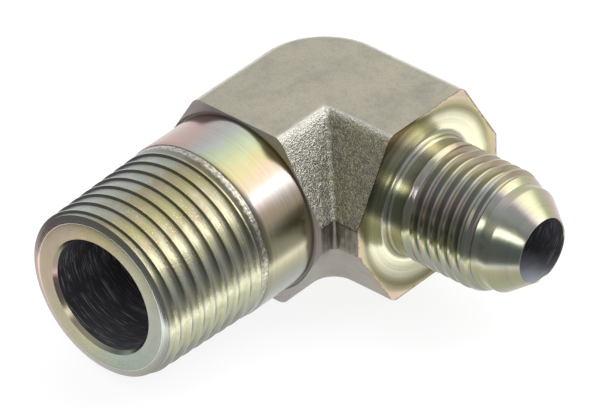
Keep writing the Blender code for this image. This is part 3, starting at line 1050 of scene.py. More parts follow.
@dataclass(frozen=True)
class TurnedFinish(Finish):
    """Turned and yellow plated steel, whose tints drift with the thickness of its film, with painted
    highlights, glints and shade where a finish asks for them.

    Round surfaces are tinted by the angle round the arm, and faces square to it by the radius.
    Scales are in cells to the metre. What a surface doesn't show has a share or a radius of 0.
    """

    arm: Arm = Arm.PIPE
    bore_height: float = 0.0
    film: Stops = ()
    face_film: Stops = ()
    face_film_reach: float = 12.8 * MM
    shade: float = 1.0
    ring_depth: float = 0.004 * MM
    ring_scale: float = 5200.0
    broad_ring_scale: float = 832.0
    scratch_scale: float = 2400.0
    scratch_crowding: float = 7.0
    scratch_turn: float = 0.35 * MM
    pits: float = 0.0
    pit_scale: float = 3600.0
    streaks: float = 0.35
    metal: float = 1.0
    crest_radius: float = 0.0
    crest_band: float = 0.12 * MM
    crest_film: Film = Film.LILAC
    painted_glints: float = 0.0
    painted_glint_scale: float = 4300.0
    painted_flank_shading: float = 0.0
    torn_from: float = 0.0
    torn_to: float = 0.0
    shred_scale: float = 2400.0
    burred: HexSection | None = None
    burr_scale: float = 1500.0
    burr_depth: float = 0.6 * MM

    def material(self) -> bpy.types.Material:
        """Build the material."""
        material, graph, shader, place = self._start()
        at = TurnedPlace.measure(graph, place, self.arm, self.bore_height)
        # The station changes along round surfaces and across faces, so that both show rings.
        station = at.along - at.radius * 0.6
        rings = graph.noise(station, self.ring_scale, detail=2.0, roughness=0.7, dimensions="1D")
        broad = graph.noise(station, self.broad_ring_scale, detail=2.0, roughness=0.5, dimensions="1D")
        turned = graph.vector(station * self.scratch_crowding, at.angle * self.scratch_turn, 0.0)
        scratches = graph.noise(turned, self.scratch_scale, detail=3.0, roughness=0.65)
        low, middle, high = (tuple(part * self.shade for part in tone) for tone in SCRATCH_TONES)
        shade = graph.ramp(
            rings * 0.35 + broad * 0.3 + scratches * 0.35,
            [(0.3, low), (0.5, middle), (0.7, high)],
            "LINEAR",
        )

        relief = rings * 0.5 + broad * 0.7 + scratches * self.streaks
        colour = graph.mix(1.0, self._film(at), shade, "MULTIPLY")
        if self.pits:
            relief = relief + self._pitting(at)
        # Painted glints: bright gold specks on the upper side of the arm.
        if self.painted_glints:
            painted_sparks = graph.cells(place, self.painted_glint_scale).step(0.20, 0.08)
            shown = at.cloud.step(0.42, 0.56) * at.within(*PAINTED_GLINT_ARC)
            colour = graph.mix(painted_sparks * shown * self.painted_glints, colour, PAINTED_GLINT_TINT)
        # Painted light and shade on the thread's flanks.
        if self.painted_flank_shading:
            colour = self._paint_flank_shading(at, colour)
        if self.torn_from:
            shreds = graph.noise(place, self.shred_scale, detail=3.0, roughness=0.7)
            torn = at.along.step(self.torn_from, self.torn_from + 0.2 * MM)
            torn = torn * at.along.step(self.torn_to, self.torn_to - 0.3 * MM)
            relief = relief + shreds * torn * 5.0
            tones = [(0.38, SHADE_AND_TEAR_TINT), (0.5, Film.LILAC.value), (0.62, TORN_TINT)]
            colour = graph.mix(torn * 0.5, colour, graph.ramp(shreds, tones, "LINEAR"))
        if self.burred:
            ragged = graph.noise(place, self.burr_scale, detail=3.0, roughness=0.65) - 0.5
            outside = self.burred.beyond(at) + ragged * self.burr_depth
            burr = outside.step(-0.26 * MM, -0.10 * MM)
            colour = graph.mix(burr * at.facing.step(*FACE_ON) * 0.8, colour, BURR_TINT)

        self._bump(graph, shader, relief, self.ring_depth)
        graph.plug(shader.inputs["Base Color"], colour)
        roughness = self.roughness + (at.cloud - 0.5) * 0.10 + (rings - 0.5) * 0.06
        graph.plug(shader.inputs["Roughness"], roughness)
        shader.inputs["Metallic"].default_value = self.metal
        return material

    def _film(self, at: TurnedPlace) -> Field:
        """Return the film's tint on round surfaces, on faces and on crests, with the painted highlights
        that some of its stops hold.

        Args:
            at: The shaded place.

        Returns:
            The tint.
        """
        graph = at.graph
        uneven = at.cloud - 0.5
        blotch = uneven * (0.14 if self.pits else 0.05)
        spread = at.angle / (2 * math.pi) + 0.5 + at.drift * 0.07 + blotch
        stops = [((degrees + 180.0) / 360.0, film.value) for degrees, film in self.film]
        tint = graph.ramp(spread, stops)
        if self.face_film:
            reach = self.face_film_reach
            outward = at.radius / reach + at.drift * 0.04 + uneven * 0.02
            stops = [(distance * MM / reach, film.value) for distance, film in self.face_film]
            tint = graph.mix(at.facing.step(*FACE_ON), tint, graph.ramp(outward, stops, "LINEAR"))
        if self.crest_radius:
            crest = at.radius.step(self.crest_radius - self.crest_band, self.crest_radius)
            tint = graph.mix(crest * 0.6, tint, self.crest_film.value)
        return tint

    def _pitting(self, at: TurnedPlace) -> Field:
        """Return the relief of the pits, which are deeper on the upper half of the arm.

        Args:
            at: The shaded place.

        Returns:
            The relief.
        """
        graph = at.graph
        grit = graph.cells(at.place, self.pit_scale).step(0.0, 0.55)
        where = graph.noise(at.place, 260.0, detail=2.0).step(0.35, 0.65)
        upper = at.angle.step(0.2, 0.6) * 0.85 + 0.15
        return (grit + graph.noise(at.place, 2600.0) * 1.5) * where * upper * self.pits

    def _paint_flank_shading(self, at: TurnedPlace, colour: Field) -> Field:
        """Paint shade on the flanks that face the arm's end above, and paint light and shade on the
        flanks below.

        Args:
            at: The shaded place.
            colour: The colour so far.

        Returns:
            The colour with its painted light and shade on the flanks.
        """
        graph = at.graph
        # Painted shade on the upper flanks that face the arm's end; the smoke below is a painted shade
        # too.
        shaded = at.leaning.step(0.02, 0.34) * at.angle.step(0.15, 0.55)
        colour = graph.mix(shaded * self.painted_flank_shading, colour, SHADE_AND_TEAR_TINT)
        # Lower down: painted reflection in cream on the flanks that lean towards the end, painted shade
        # in smoke on the others.
        flanks = graph.mix(at.leaning.step(-0.10, 0.06), Film.SMOKE.value, Film.CREAM_HIGHLIGHT.value)
        return graph.mix(at.within(*PAINTED_FLANK_ARC) * self.painted_flank_shading * 1.3, colour, flanks)


@dataclass(frozen=True)
class BoredFinish(Finish):
    """The drilled bores, dark above as painted shade and lighter below as painted light, with the
    scratches of the drill.

    The painted light lies between two angles round the arm, in degrees. Scales are in cells to the metre.
    """

    arm: Arm = Arm.PIPE
    bore_height: float = 0.0
    # The dark tint is painted shade, the light tint painted light on the lower wall.
    painted_shade_tint: Colour = (0.075, 0.07, 0.08)
    painted_light_tint: Colour = (0.16, 0.165, 0.19)
    painted_light_from: float = -150.0
    painted_light_to: float = -80.0
    scratch_tint: Colour = (0.75, 0.75, 0.80)
    scratch_scale: float = 3000.0
    scratch_depth: float = 0.03 * MM
    patch_scale: float = 420.0
    metal: float = 0.35
    scratched: float = 0.8

    def material(self) -> bpy.types.Material:
        """Build the material."""
        material, graph, shader, place = self._start()
        x, y, z = graph.split(place)
        rise = z - self.bore_height
        along, side = (x, y) if self.arm is Arm.PIPE else (y, x)
        angle = graph.math("ARCTAN2", rise, side)
        drift = graph.noise(place, 300.0, detail=3.0) - 0.5
        degrees = angle * (180.0 / math.pi) + drift * 40.0
        # Painted light on the lower wall of the bore; the rest is painted shade.
        painted_light = degrees.step(self.painted_light_from, self.painted_light_to) * rise.step(0.0, -2.0 * MM)

        # The scratches climb along the bore as the drill turns.
        swirl = graph.vector(along * 3.0 + angle * (1.2 * MM), angle * (0.5 * MM), 0.0)
        scratches = graph.noise(swirl, self.scratch_scale, detail=5.0, roughness=0.7)
        patchy = graph.noise(place, self.patch_scale, detail=2.0).step(0.25, 0.45)
        bright = scratches.step(0.55, 0.61) * patchy * self.scratched
        colour = graph.mix(bright, graph.mix(painted_light, self.painted_shade_tint, self.painted_light_tint), self.scratch_tint)
        self._bump(graph, shader, scratches, self.scratch_depth, 0.8)
        graph.plug(shader.inputs["Base Color"], colour)
        shader.inputs["Metallic"].default_value = self.metal
        shader.inputs["Roughness"].default_value = self.roughness
        return material


# The forged body


@dataclass(frozen=True)
class HexSection:
    """The forged body's hexagonal section, square to an arm, with the trimmed band at its sides."""

    half_height: float
    flat_half_width: float
    trim_half_width: float
    draft: float

    def radius(self) -> float:
        """Return the radius of the circle that clears every corner."""
        parting = self.flat_half_width + self.half_height * math.tan(self.draft)
        band = (parting - self.trim_half_width) / math.tan(self.draft)
        return max(
            math.hypot(self.flat_half_width, self.half_height),
            math.hypot(self.trim_half_width, band),
        )

    def beyond(self, at: TurnedPlace) -> Field:
        """Return how far a shaded place lies outside the section, less than 0 inside it.

        Args:
            at: The place.

        Returns:
            The distance from the section's outline.
        """
        graph = at.graph
        across = graph.math("ABSOLUTE", at.side)
        up = graph.math("ABSOLUTE", at.rise)
        flank_width = (self.half_height - up) * math.tan(self.draft) + self.flat_half_width
        past_flank = (across - flank_width) * math.cos(self.draft)
        past_flats = graph.math("MAXIMUM", up - self.half_height, across - self.trim_half_width)
        return graph.math("MAXIMUM", past_flank, past_flats)


@dataclass
class ForgedBody:
    """The drop-forged elbow: two flats, drafted flanks and a sheared parting line.

    The scales of its swells and strokes are in cells to the metre.
    """

    frame: CadFrame
    flat_half_width: float = 6.15 * MM
    draft: float = math.radians(31.0)
    outer_corner: float = 8.0 * MM
    inner_corner: float = 0.5 * MM
    lower_inner_corner: float = 3.0 * MM
    trim_corner: float = 0.3 * MM
    edge_radius: float = 1.6 * MM
    edge_steps: int = 4
    arm_reach: float = 17.0 * MM
    end_steps: int = 26
    inner_steps: int = 8
    outer_steps: int = 34
    inner_allowance: int = 4
    spacing: float = 0.42 * MM
    trim_spacing: float = 0.231 * MM
    trim_levels: tuple[float, ...] = tuple(level * MM for level in (0.3, 0.8, 1.4, 2.0, 3.0, 4.5, 13.0))
    swell_scale: float = 260.0
    ripple_scale: float = 900.0
    wave: float = 0.035 * MM
    stroke_scale: float = 1900.0
    stroke_stretch: float = 0.06
    stroke: float = 0.03 * MM

    def cross_section(self) -> HexSection:
        """Return the section of both arms."""
        half = self.frame.bore_height
        return HexSection(half, self.flat_half_width, self.frame.trim_half_width, self.draft)

    def outline(
        self,
        half_width: float,
        outer: float,
        inner: float,
        reach: float,
        spacing: float,
    ) -> list[Point]:
        """Return the plan of the elbow, anticlockwise.

        Args:
            half_width: Half the width of each arm.
            outer: Radius of the outer corner.
            inner: Radius of the inner corner.
            reach: How far each arm runs from the crossing.
            spacing: Length that the counts of the straight sides are worked out from.

        Returns:
            The points, whose count doesn't depend on half_width, outer or inner.
        """
        near = half_width + inner
        far = outer - half_width

        # Every level has as many points, whatever its widths. The inner sides have the finer steps.
        outside = round((reach - self.flat_half_width) / spacing)
        inside = round(reach / spacing) - self.inner_allowance

        def run(start: Point, end: Point, count: int) -> list[Point]:
            """Return evenly spaced points from start up to but without end."""
            across, along = end[0] - start[0], end[1] - start[1]
            return [(start[0] + across * i / count, start[1] + along * i / count) for i in range(count)]

        points = run((reach, -half_width), (reach, half_width), self.end_steps)
        points += run((reach, half_width), (near, half_width), inside)
        points += arc((near, near), inner, 1.5 * math.pi, math.pi, self.inner_steps)
        points += run((half_width, near), (half_width, reach), inside)[1:]
        points += run((half_width, reach), (-half_width, reach), self.end_steps)
        points += run((-half_width, reach), (-half_width, far), outside)
        points += arc((far, far), outer, math.pi, 1.5 * math.pi, self.outer_steps)
        points += run((far, -half_width), (reach, -half_width), outside)[1:]
        return points

    def side(self) -> list[Point]:
        """Return (height, growth) pairs from the lower flat to the upper, with rounded edges.

        Returns:
            Heights from the parting line, and how much wider the body is there than its flats.
        """
        turn = math.pi / 2 - self.draft
        setback = self.edge_radius * math.tan(turn / 2)
        rounding = []
        for index in range(self.edge_steps + 1):
            angle = turn * index / self.edge_steps
            height = self.frame.bore_height - self.edge_radius * (1 - math.cos(angle))
            rounding.append((height, -setback + self.edge_radius * math.sin(angle)))
        top_height, top_growth = rounding[-1]
        count = round(top_height / self.spacing)
        upper = []
        for index in range(count):
            height = top_height * index / count
            upper.append((height, top_growth + (top_height - height) * math.tan(self.draft)))
        upper += reversed(rounding)
        return [(-height, growth) for height, growth in reversed(upper[1:])] + upper

    def forging(self) -> Solid:
        """Loft the forging and roughen its flanks, whose waves break up the edges."""
        rings = []
        for height, growth in self.side():
            below = max(0.0, -height / self.frame.bore_height)
            plan = self.outline(
                self.flat_half_width + growth,
                self.outer_corner + growth,
                self.inner_corner + (self.lower_inner_corner - self.inner_corner) * below,
                self.arm_reach,
                self.spacing,
            )
            ring = []
            for (x, y), normal in zip(plan, outward_normals(plan)):
                here = Vector((x, y, height + self.frame.bore_height))
                swell = noise.noise(here * self.swell_scale) + 0.5 * noise.noise(here * self.ripple_scale)
                ring.append(here + normal * swell * self.wave)
            rings.append(ring)
        return loft("forging", rings)

    def trim_die(self) -> Solid:
        """Return the prism that the trimming die leaves, with strokes down its walls."""
        plan = self.outline(
            self.frame.trim_half_width - self.stroke,
            self.outer_corner + self.frame.trim_half_width - self.flat_half_width,
            self.trim_corner,
            self.arm_reach + OVERLAP,
            self.trim_spacing,
        )
        normals = outward_normals(plan)
        rings = []
        for level in [-level for level in reversed(self.trim_levels)] + list(self.trim_levels):
            ring = []
            for (x, y), normal in zip(plan, normals):
                stroke = noise.noise(Vector((x, y, level * self.stroke_stretch)) * self.stroke_scale)
                here = Vector((x, y, self.frame.bore_height + level))
                ring.append(here + normal * stroke * self.stroke)
            rings.append(ring)
        return loft("trim_die", rings)

    def build(self, forged: bpy.types.Material, sheared: bpy.types.Material) -> Solid:
        """Forge and trim the body.

        Args:
            forged: The forged skin.
            sheared: What the trimming die leaves.

        Returns:
            The body, with both arms still plain.
        """
        body = self.forging().dressed(forged)
        return body.combine(Cut.KEEP_INSIDE, self.trim_die().dressed(sheared))


# The turned ends


@dataclass(kw_only=True)
class TurnedEnd(ABC):
    """What both ends share. The solids of an end are made along Z, from the crossing outwards.

    Crests and floors of a thread are whole rows of its rod's grid wide, so that their edges are crisp.
    """

    reach: float
    section_radius: float
    turned_skin: bpy.types.Material
    shoulder_skin: bpy.types.Material
    thread_skin: bpy.types.Material
    thread_end_skin: bpy.types.Material
    bore_skin: bpy.types.Material
    arm: Arm
    shoulder: float
    hollow_depth: float
    bore_radius: float
    rim_width: float
    rim_depth: float
    core_step: float
    steps: int
    rows_per_pitch: int = 21
    bore_past_crossing: float = 0.0
    drill_half_angle: float = math.radians(59.0)
    clearance: float = 0.15 * MM
    blank_step: float = 1.2 * MM
    waste_step: float = 2.0 * MM

    @abstractmethod
    def hollow(self) -> list[Point]:
        """Return the outline of the hollow that is cut into the shoulder."""

    @abstractmethod
    def core(self) -> list[Point]:
        """Return the outline of what stands on the shoulder, without its thread."""

    @abstractmethod
    def thread_form(self) -> ThreadForm:
        """Return the thread."""

    @abstractmethod
    def thread_blank(self) -> list[Point]:
        """Return the outline that the thread is turned to, with its outer end cut down."""

    def turn(self, name: str, outline: list[Point], step: float, skin: bpy.types.Material) -> Solid:
        """Turn an outline into a solid.

        Args:
            name: What the solid is, without its arm.
            outline: (distance, radius) pairs. The first and the last are on the axis.
            step: Longest step along the outline.
            skin: What the solid is dressed in.

        Returns:
            The solid.
        """
        full_name = f"{self.arm.value}_{name}"
        return Solid(full_name, lathe(full_name, outline, self.steps, step)).dressed(skin)

    def shoulder_waste(self) -> Solid:
        """Return what is faced off past the shoulder, with its hollow."""
        clear = self.section_radius + self.clearance
        far = self.shoulder + 5 * OVERLAP
        outline = [(far, 0.0), (far, clear), (self.shoulder, clear)]
        outline += self.hollow()
        outline.append((self.shoulder - self.hollow_depth, 0.0))
        return self.turn("shoulder_waste", outline, self.blank_step, self.shoulder_skin)

    def stem(self) -> Solid:
        """Return the core with its thread."""
        thread = ThreadTree(self.thread_form()).rod(f"{self.arm.value}_thread", self.thread_skin)
        blank = self.turn("blank", self.thread_blank(), self.blank_step, self.thread_end_skin)
        core = self.turn("core", self.core(), self.core_step, self.turned_skin)
        return core.combine(Cut.ADD, thread.combine(Cut.KEEP_INSIDE, blank))

    def countersink_waste(self) -> Solid:
        """Return the waste of the conical edge break at the mouth of the bore."""
        over = 0.5 * OVERLAP
        inside = 0.5 * self.bore_radius
        inner_end = self.reach - self.rim_depth * (1 + (self.bore_radius - inside) / self.rim_width)
        outline = [
            (self.reach + over, 0.0),
            (self.reach + over, self.bore_radius + self.rim_width * (1 + over / self.rim_depth)),
            (inner_end, inside),
            (inner_end, 0.0),
        ]
        return self.turn("countersink", outline, self.waste_step, self.turned_skin)

    def drill_waste(self) -> Solid:
        """Return the waste of the drill, with a conical point."""
        point = self.bore_radius / math.tan(self.drill_half_angle)
        outline = [
            (self.reach + OVERLAP, 0.0),
            (self.reach + OVERLAP, self.bore_radius),
            (-self.bore_past_crossing, self.bore_radius),
            (-self.bore_past_crossing - point, 0.0),
        ]
        return self.turn("drill", outline, self.waste_step, self.bore_skin)


@dataclass(kw_only=True)
class PipeEnd(TurnedEnd):
    """The collar and the tapered pipe thread, with the wide bore and a groove round the collar."""

    face_skin: bpy.types.Material
    arm: Arm = Arm.PIPE
    shoulder: float = 13.9 * MM
    hollow_depth: float = 0.16 * MM
    groove_radius: float = 10.95 * MM
    collar_radius: float = 10.67 * MM
    collar_chamfer: float = 0.2 * MM
    thread_start: float = 21.2 * MM
    thread_lead_in: float = 1.19 * MM
    pitch: float = 25.4 / 14 * MM
    major_radius: float = 10.6 * MM
    face_radius: float = 8.87 * MM
    chamfer_depth: float = 0.85 * MM
    chamfer_power: float = 1.6
    chamfer_steps: int = 8
    bore_radius: float = 6.65 * MM
    bore_past_crossing: float = 4.4 * MM
    rim_width: float = 0.36 * MM
    rim_depth: float = 0.46 * MM
    core_step: float = 0.8 * MM
    steps: int = 192

    def hollow(self) -> list[Point]:
        """Return the outline of the narrow groove round the collar, with its edges broken."""
        floor = self.shoulder - self.hollow_depth
        middle = (self.groove_radius + self.collar_radius) / 2
        return [
            (self.shoulder, self.groove_radius + 0.04 * MM),
            (self.shoulder - 0.03 * MM, self.groove_radius),
            (floor + 0.02 * MM, middle),
            (floor, middle - 0.04 * MM),
        ]

    def core(self) -> list[Point]:
        """Return the outline of the collar and of the core that the thread sits on."""
        inner = (self.bore_radius + self.face_radius) / 2
        edge = self.collar_chamfer
        return [
            (self.thread_start + OVERLAP, 0.0),
            (self.thread_start + OVERLAP, inner),
            (self.thread_start, inner),
            (self.thread_start, self.collar_radius - edge),
            (self.thread_start - edge * 0.35, self.collar_radius - edge * 0.3),
            (self.thread_start - edge, self.collar_radius),
            (self.shoulder - OVERLAP, self.collar_radius),
            (self.bore_radius, self.collar_radius - OVERLAP),
            (self.bore_radius, 0.0),
        ]

    def thread_form(self) -> ThreadForm:
        """Return the tapered pipe thread, which fades into the collar."""
        return ThreadForm(
            start=self.thread_start - self.thread_lead_in,
            end=self.reach + 0.5 * OVERLAP,
            pitch=self.pitch,
            major_radius=self.major_radius,
            taper=1 / 32,
            crest_flat=self.pitch * 2 / self.rows_per_pitch,
            floor_radius=3.5 * MM,
            floor_half_width=self.pitch * 7.5 / self.rows_per_pitch,
            runout_start=self.thread_lead_in + 0.5 * MM,
            runout=1.3 * MM,
            steps_around=self.steps,
            steps_per_pitch=self.rows_per_pitch,
            chatter=0.0015 * MM,
            tear_depth=0.10 * MM,
            tear_length=2.4 * MM,
        )

    def thread_blank(self) -> list[Point]:
        """Return the outline that bevels the first turns."""
        clear = self.major_radius + OVERLAP
        start = self.thread_start - 2 * OVERLAP
        drop = self.major_radius - self.face_radius
        bevel = []
        for index in range(self.chamfer_steps + 1):
            share = index / self.chamfer_steps
            back = self.chamfer_depth * share**self.chamfer_power
            bevel.append((self.reach - back, self.face_radius + drop * share))
        behind = self.chamfer_depth * (1 + self.chamfer_power * OVERLAP / drop)
        return [
            (self.reach + OVERLAP, 0.0),
            (self.reach + OVERLAP, self.face_radius - 0.05 * MM),
            *bevel,
            (self.reach - behind, clear),
            (start, clear),
            (start, 0.0),
        ]

    def stem(self) -> Solid:
        """Return the core with its thread, faced off at the mouth."""
        outline = [
            (self.reach + 2 * OVERLAP, 0.0),
            (self.reach + 2 * OVERLAP, self.major_radius + OVERLAP),
            (self.reach, self.major_radius + OVERLAP),
            (self.reach, 0.0),
        ]
        facing = self.turn("facing", outline, self.waste_step, self.face_skin)
        return super().stem().combine(Cut.REMOVE, facing)


@dataclass(kw_only=True)
class FlareEnd(TurnedEnd):
    """The neck, the straight thread, the nose and the flare cone, with a dished ring at the neck."""

    arm: Arm = Arm.FLARE
    shoulder: float = 15.1 * MM
    hollow_depth: float = 0.3 * MM
    dish_radius: float = 10.45 * MM
    dish_inner: float = 8.0 * MM
    neck_radius: float = 6.95 * MM
    neck_fillet: float = 0.5 * MM
    foot_width: float = 0.18 * MM
    collar_line: float = 15.45 * MM
    thread_start: float = 17.09 * MM
    pitch: float = 25.4 / 18 * MM
    major_radius: float = 7.1 * MM
    thread_setback: float = 6.2 * MM
    rounding_length: float = 2.0 * MM
    rounding_power: float = 1.8
    rounding_steps: int = 12
    nose_radius: float = 6.1 * MM
    cone_length: float = 2.92 * MM
    cone_angle: float = math.radians(37.0)
    bore_radius: float = 3.75 * MM
    rim_width: float = 0.09 * MM
    rim_depth: float = 0.09 * MM
    core_step: float = 0.7 * MM
    steps: int = 144

    def hollow(self) -> list[Point]:
        """Return the outline of the dished ring, with a border left round it."""
        return [
            (self.shoulder, self.dish_radius + 0.05 * MM),
            (self.shoulder - 0.03 * MM, self.dish_radius - 0.03 * MM),
            (self.shoulder - self.hollow_depth, self.dish_inner),
        ]

    def core(self) -> list[Point]:
        """Return the outline of the cone, the nose and the neck, with broken edges and a fillet."""
        tip = self.nose_radius - self.cone_length * math.tan(self.cone_angle)
        nose_shoulder = self.reach - self.cone_length
        inner = (self.bore_radius + self.nose_radius) / 2
        nose_root = self.reach - self.thread_setback + self.rounding_length
        floor = self.shoulder - self.hollow_depth
        fillet = self.neck_fillet
        foot = self.neck_radius + self.foot_width
        return [
            (self.reach, 0.0),
            (self.reach, tip - 0.03 * MM),
            (self.reach - 0.03 * MM, tip),
            (nose_shoulder + 0.10 * MM, self.nose_radius - 0.075 * MM),
            (nose_shoulder, self.nose_radius - 0.02 * MM),
            (nose_shoulder - 0.10 * MM, self.nose_radius),
            (nose_root - OVERLAP, self.nose_radius),
            (nose_root - OVERLAP, inner),
            (self.thread_start + 0.3 * MM, inner),
            (self.thread_start + 0.3 * MM, self.neck_radius),
            (self.collar_line + 0.22 * MM, self.neck_radius),
            (max(self.collar_line, floor + fillet + 0.02 * MM), foot),
            *arc((floor + fillet, foot + fillet), fillet, 1.5 * math.pi, math.pi, 6),
            (floor - OVERLAP, foot + fillet),
            (self.bore_radius + OVERLAP, self.neck_radius),
            (self.bore_radius + OVERLAP, 0.0),
        ]

    def thread_form(self) -> ThreadForm:
        """Return the straight thread."""
        return ThreadForm(
            start=self.thread_start,
            end=self.reach - self.thread_setback + self.rounding_length,
            pitch=self.pitch,
            major_radius=self.major_radius,
            taper=0.0,
            crest_flat=self.pitch * 4 / self.rows_per_pitch,
            floor_radius=0.45 * MM,
            floor_half_width=self.pitch * 3.5 / self.rows_per_pitch,
            runout_start=0.0,
            runout=1.2 * MM,
            steps_around=self.steps,
            steps_per_pitch=self.rows_per_pitch,
            chatter=0.0012 * MM,
            tear_depth=0.05 * MM,
            tear_length=0.7 * MM,
            seed=11.0,
        )

    def thread_blank(self) -> list[Point]:
        """Return the outline whose outer end is rounded down to the nose."""
        thread_end = self.reach - self.thread_setback
        nose_root = thread_end + self.rounding_length
        clear = self.major_radius + OVERLAP
        drop = self.major_radius - self.nose_radius
        rounding = []
        for index in range(self.rounding_steps + 1):
            share = 1 - index / self.rounding_steps
            radius = self.major_radius - drop * share**self.rounding_power
            rounding.append((thread_end + self.rounding_length * share, radius))
        return [
            (nose_root + OVERLAP, 0.0),
            (nose_root + OVERLAP, self.nose_radius - OVERLAP),
            *rounding,
            (thread_end - OVERLAP, clear),
            (self.thread_start + clear - self.neck_radius, clear),
            (self.thread_start - OVERLAP, self.neck_radius - OVERLAP),
            (self.thread_start - OVERLAP, 0.0),
        ]


# The whole adapter


COLLAR_FILM: Stops = (
    (-180.0, Film.PINK),
    (-120.0, Film.STRAW),
    (-70.0, Film.TEAL),
    (-25.0, Film.STEEL),
    (-5.0, Film.STRAW),
    (12.0, Film.STRAW),
    (28.0, Film.PEACH),
    (43.0, Film.LILAC),
    (54.0, Film.PEACH),
    (64.0, Film.GOLD),
    (73.0, Film.LIME),
    (81.0, Film.GREEN),
    (89.0, Film.BLUE_GREY),
    (98.0, Film.LILAC),
    (110.0, Film.PINK),
    (150.0, Film.STRAW),
    (180.0, Film.PINK),
)

PIPE_SHOULDER_FILM: Stops = (
    (-180.0, Film.LILAC),
    (35.0, Film.LILAC),
    (50.0, Film.GOLD),
    (62.0, Film.STRAW),
    (80.0, Film.LILAC),
    (180.0, Film.LILAC),
)

PIPE_FACE_FILM: Stops = (
    (-180.0, Film.PEACH),
    (-120.0, Film.STRAW),
    (-65.0, Film.TEAL),
    (0.0, Film.STEEL),
    (60.0, Film.STRAW),
    (90.0, Film.GOLD),
    (130.0, Film.PEACH),
    (180.0, Film.PEACH),
)

PIPE_CHAMFER_FILM: Stops = (
    (-180.0, Film.PINK),
    (-100.0, Film.LILAC),
    (-40.0, Film.STEEL),
    (20.0, Film.BLUE_GREY),
    (70.0, Film.STEEL),
    (110.0, Film.LILAC),
    (180.0, Film.PINK),
)

PIPE_THREAD_FILM_AND_HIGHLIGHT: Stops = (
    (-180.0, Film.STEEL),
    (-60.0, Film.TEAL),
    (-25.0, Film.STEEL),
    (-12.0, Film.LIME),
    # Painted reflection: a cream band low on the arm's side.
    (1.0, Film.CREAM_HIGHLIGHT),
    (9.0, Film.STRAW),
    (20.0, Film.STEEL),
    (40.0, Film.STRAW),
    (50.0, Film.STRAW),
    (60.0, Film.TAN),
    (71.0, Film.OLIVE),
    (84.0, Film.TAN),
    (100.0, Film.STEEL),
    (118.0, Film.BLUE_GREY),
    (180.0, Film.STEEL),
)

FLARE_THREAD_FILM: Stops = (
    (-180.0, Film.STEEL),
    (-60.0, Film.TEAL),
    (-20.0, Film.STEEL),
    (2.0, Film.LIME),
    (18.0, Film.STEEL),
    (45.0, Film.LILAC),
    (62.0, Film.BLUE_GREY),
    (90.0, Film.STRAW),
    (110.0, Film.PEACH),
    (180.0, Film.STEEL),
)

FLARE_SHOULDER_FILM_AND_HIGHLIGHT: Stops = (
    (6.9, Film.STEEL),
    # Painted highlight: the dished ring is tinted cream.
    (8.0, Film.CREAM_HIGHLIGHT),
    (9.2, Film.CREAM_HIGHLIGHT),
    (10.0, Film.STRAW),
    (10.45, Film.OLIVE),
    (10.75, Film.GOLD),
    (11.5, Film.PEACH),
    (12.9, Film.PINK),
)

FLARE_FILM_AND_HIGHLIGHT: Stops = (
    (-180.0, Film.STRAW),
    (-130.0, Film.TEAL),
    (-70.0, Film.PEACH),
    (-30.0, Film.LIME),
    (-8.0, Film.STRAW),
    (4.0, Film.STEEL),
    (28.0, Film.TEAL),
    # Painted highlight: a cream streak on the neck and the nose.
    (42.0, Film.CREAM_HIGHLIGHT),
    (53.0, Film.STEEL),
    (62.0, Film.BLUE_GREY),
    (76.0, Film.LILAC),
    (90.0, Film.STRAW),
    (108.0, Film.LIME),
    (150.0, Film.PINK),
    (180.0, Film.STRAW),
)


